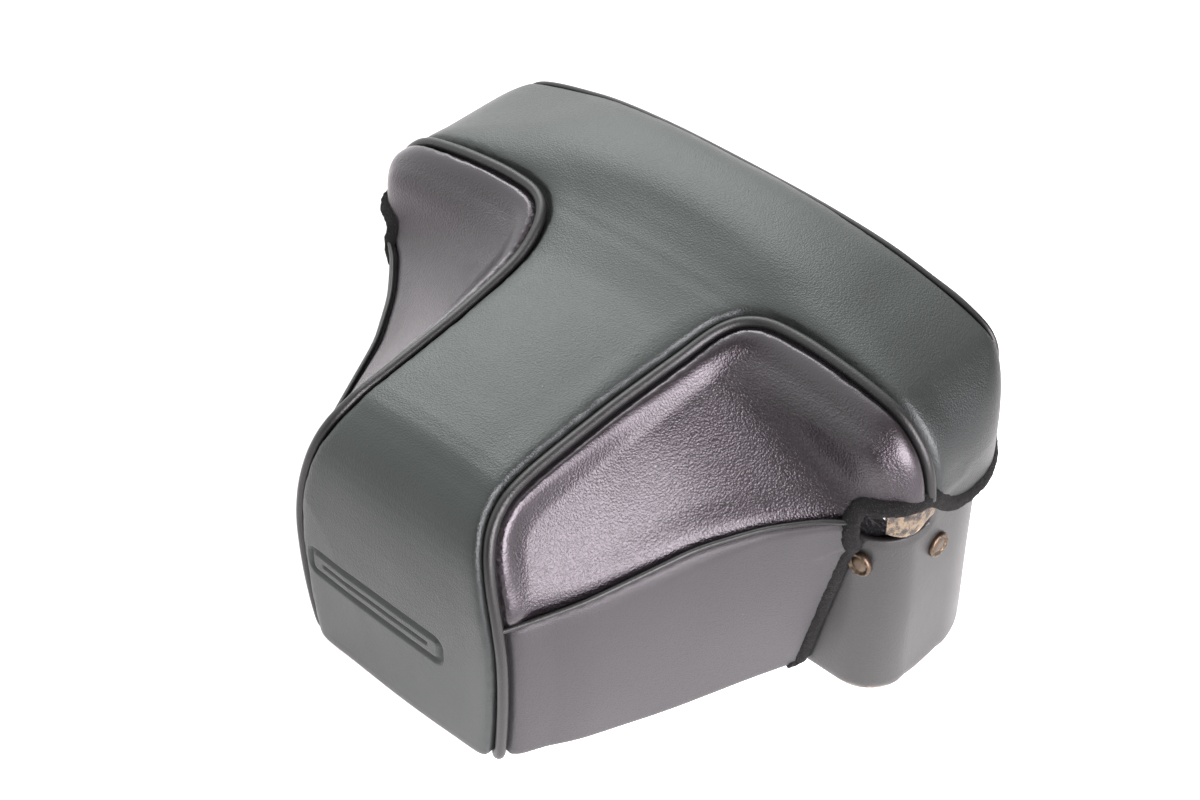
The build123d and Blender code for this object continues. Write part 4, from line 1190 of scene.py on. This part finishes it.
for s in (-1, 1):
    for z in np.arange(21.0, 41.5, 2.6):
        if 23.0 < z < 35.0:
            continue
        sp.append(np.array((s * 10.4, 19.72, z))); sd_.append((0, 0, 1)); su.append((0, 1, 0))
for a in np.linspace(8, 172, 13):
    r = 10.4
    sp.append(np.array((r * math.cos(math.radians(a)), 19.68, 20 - r * math.sin(math.radians(a)))))
    sd_.append((math.sin(math.radians(a)), 0, math.cos(math.radians(a)))); su.append((0, 1, 0))
capsules("tongue_stitches", sp, sd_, su, 1.9, 0.22, "hood", "pipe")
sp, sd_, su = [], [], []
for x in np.arange(-12, 12.1, 2.4):
    for z in (25.2, 32.8):
        sp.append(np.array((x, 21.72, z))); sd_.append((1, 0, 0)); su.append((0, 1, 0))
capsules("keeper_stitches", sp, sd_, su, 1.7, 0.2, "case_and_camera", "pipe")

# ------------------------------------------------------------------ the camera inside keeps its CAD pieces
USE = {
    "top_cover": "satin", "bottom_cover": "satin", "tripod_socket": "brass", "chassis": "cast", "leatherette": "body_skin",
    "back_door": "body_skin", "door_hinge_pin": "steel", "film_gate": "black", "mirror_box": "black", "mirror_pin": "steel",
    "mirror": "mirror", "shutter_disc": "steel", "pressure_plate": "black", "pressure_spring": "steel", "porro_prism": "optic",
    "eyepiece_frame": "black", "eyepiece_lens": "optic", "film_cartridge": "satin", "film_spool": "bakelite", "rewind_shaft": "steel",
    "rewind_knob": "knob_grip", "take_up_spool": "bakelite", "sprocket": "black", "lens_mount": "bright", "lens_barrel": "black",
    "aperture_ring": "aperture_grip", "focus_ring": "focus_grip", "front_element": "optic", "rear_element": "optic", "iris_blades": "black",
    "shutter_speed_dial": "dial_grip", "button_collar": "bright", "shutter_button": "bright", "advance_lever": "bright",
    "lever_screw": "bright", "self_timer_lever": "satin", "counter_window": "optic", "counter_dial": "white", "strap_lugs": "bright",
    "rewind_release_button": "steel", "case_screw": "brass"}
for node, key in USE.items():
    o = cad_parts[node]
    o.data.materials.clear()
    o.data.materials.append(MAT[key])

# ------------------------------------------------------------------ stage
def stage_glow_mat(name, col, rough):
    m, nt, b = M(name)
    n = tex(nt, "Noise", 60.0, Detail=4.0)
    nt.links.new(mix(nt, col, [c * 0.985 for c in col], ramp(nt, n.outputs["Fac"], [(0.4, 0.0), (0.7, 1.0)])), b.inputs["Base Color"])
    b.inputs["Roughness"].default_value = rough
    b.inputs["Specular IOR Level"].default_value = 0.3
    # painted light: the floor glows through emission, strongest on the +x side and in a pool round the object that
    # fades out by about 0.2 m; it stands in for light falling on the floor and lightens the contact shadows
    b.inputs["Emission Color"].default_value = (1.0, 0.985, 0.99, 1)
    tc = nt.nodes.new("ShaderNodeTexCoord")
    sx = nt.nodes.new("ShaderNodeSeparateXYZ")
    nt.links.new(tc.outputs["Object"], sx.inputs[0])
    side = ramp(nt, math_(nt, "MULTIPLY_ADD", sx.outputs[0], 2.0, 0.5), [(0.42, 0.12), (0.62, 1.0)])
    ln = nt.nodes.new("ShaderNodeVectorMath"); ln.operation = "LENGTH"
    nt.links.new(tc.outputs["Object"], ln.inputs[0])
    glow_pool = ramp(nt, ln.outputs["Value"], [(0.070, 1.0), (0.105, 0.45), (0.20, 0.0)])
    nt.links.new(math_(nt, "MULTIPLY", math_(nt, "MULTIPLY", side, glow_pool), 2.0), b.inputs["Emission Strength"])
    return m
fm = bpy.data.meshes.new("floor")
R_ = 6.0
fm.from_pydata([(-R_, -R_, 0), (R_, -R_, 0), (R_, R_, 0), (-R_, R_, 0)], [], [(0, 1, 2, 3)])
floor = bpy.data.objects.new("floor", fm); COL.objects.link(floor)
floor.location.z = -0.0001
fm.materials.append(stage_glow_mat("floor_paper_glow", (0.62, 0.607, 0.61), 0.6))

world = bpy.data.worlds.new("studio"); bpy.context.scene.world = world
world.use_nodes = True
wt = world.node_tree
bg = wt.nodes["Background"]
wc = wt.nodes.new("ShaderNodeTexCoord")
def lobe(direction, stops):
    d = Vector(direction).normalized()
    n = wt.nodes.new("ShaderNodeVectorMath"); n.operation = "DOT_PRODUCT"
    wt.links.new(wc.outputs["Generated"], n.inputs[0]); n.inputs[1].default_value = d
    return ramp(wt, n.outputs["Value"], stops)
left = lobe((-0.95, 0.10, 0.25), [(0.0, 0.0), (0.5, 1.0)])
glow = lobe((-0.548, 0.384, 0.743), [(0.70, 0.0), (0.95, 1.0)])
right = lobe((0.8925, -0.157, 0.4226), [(0.84, 0.0), (0.95, 1.0)])
sky = mix(wt, (0.26, 0.205, 0.175), (2.0, 2.05, 2.0), left)
sky = mix(wt, sky, (2.5, 2.56, 2.54), glow)
sky = mix(wt, sky, (16.8, 15.8, 16.6), right)
wt.links.new(sky, bg.inputs[0])
bg.inputs[1].default_value = 1.0

def area(name, loc, target, size, power, col=(1, 1, 1), size_y=None):
    l = bpy.data.lights.new(name, "AREA"); l.energy = power; l.size = size; l.color = col
    if size_y:
        l.shape = "RECTANGLE"; l.size_y = size_y
    o = bpy.data.objects.new(name, l); COL.objects.link(o)
    o.location = loc
    o.rotation_euler = (Vector(target) - Vector(loc)).to_track_quat("-Z", "Y").to_euler()
    return o
area("back_left", (-0.88, 0.61, 1.19), (0, 0, 0.04), 0.8, 12.0)

cam = bpy.data.cameras.new("cam"); co_ = bpy.data.objects.new("cam", cam); COL.objects.link(co_)
A, E_ = math.radians(43.4), math.radians(41.1)
bk = Vector((math.sin(A) * math.cos(E_), -math.cos(A) * math.cos(E_), math.sin(E_)))
rt = Vector((math.cos(A), math.sin(A), 0)); up = bk.cross(rt)
co_.matrix_world = Matrix(((rt.x, up.x, bk.x, 0.24190), (rt.y, up.y, bk.y, -0.25130), (rt.z, up.z, bk.z, 0.34776), (0, 0, 0, 1)))
cam.sensor_width = 36.0; cam.lens = 72.84; cam.sensor_fit = "HORIZONTAL"
bpy.context.scene.camera = co_
sc = bpy.context.scene
sc.view_settings.view_transform = "Standard"
sc.view_settings.look = "None"
sc.view_settings.exposure = 0.0
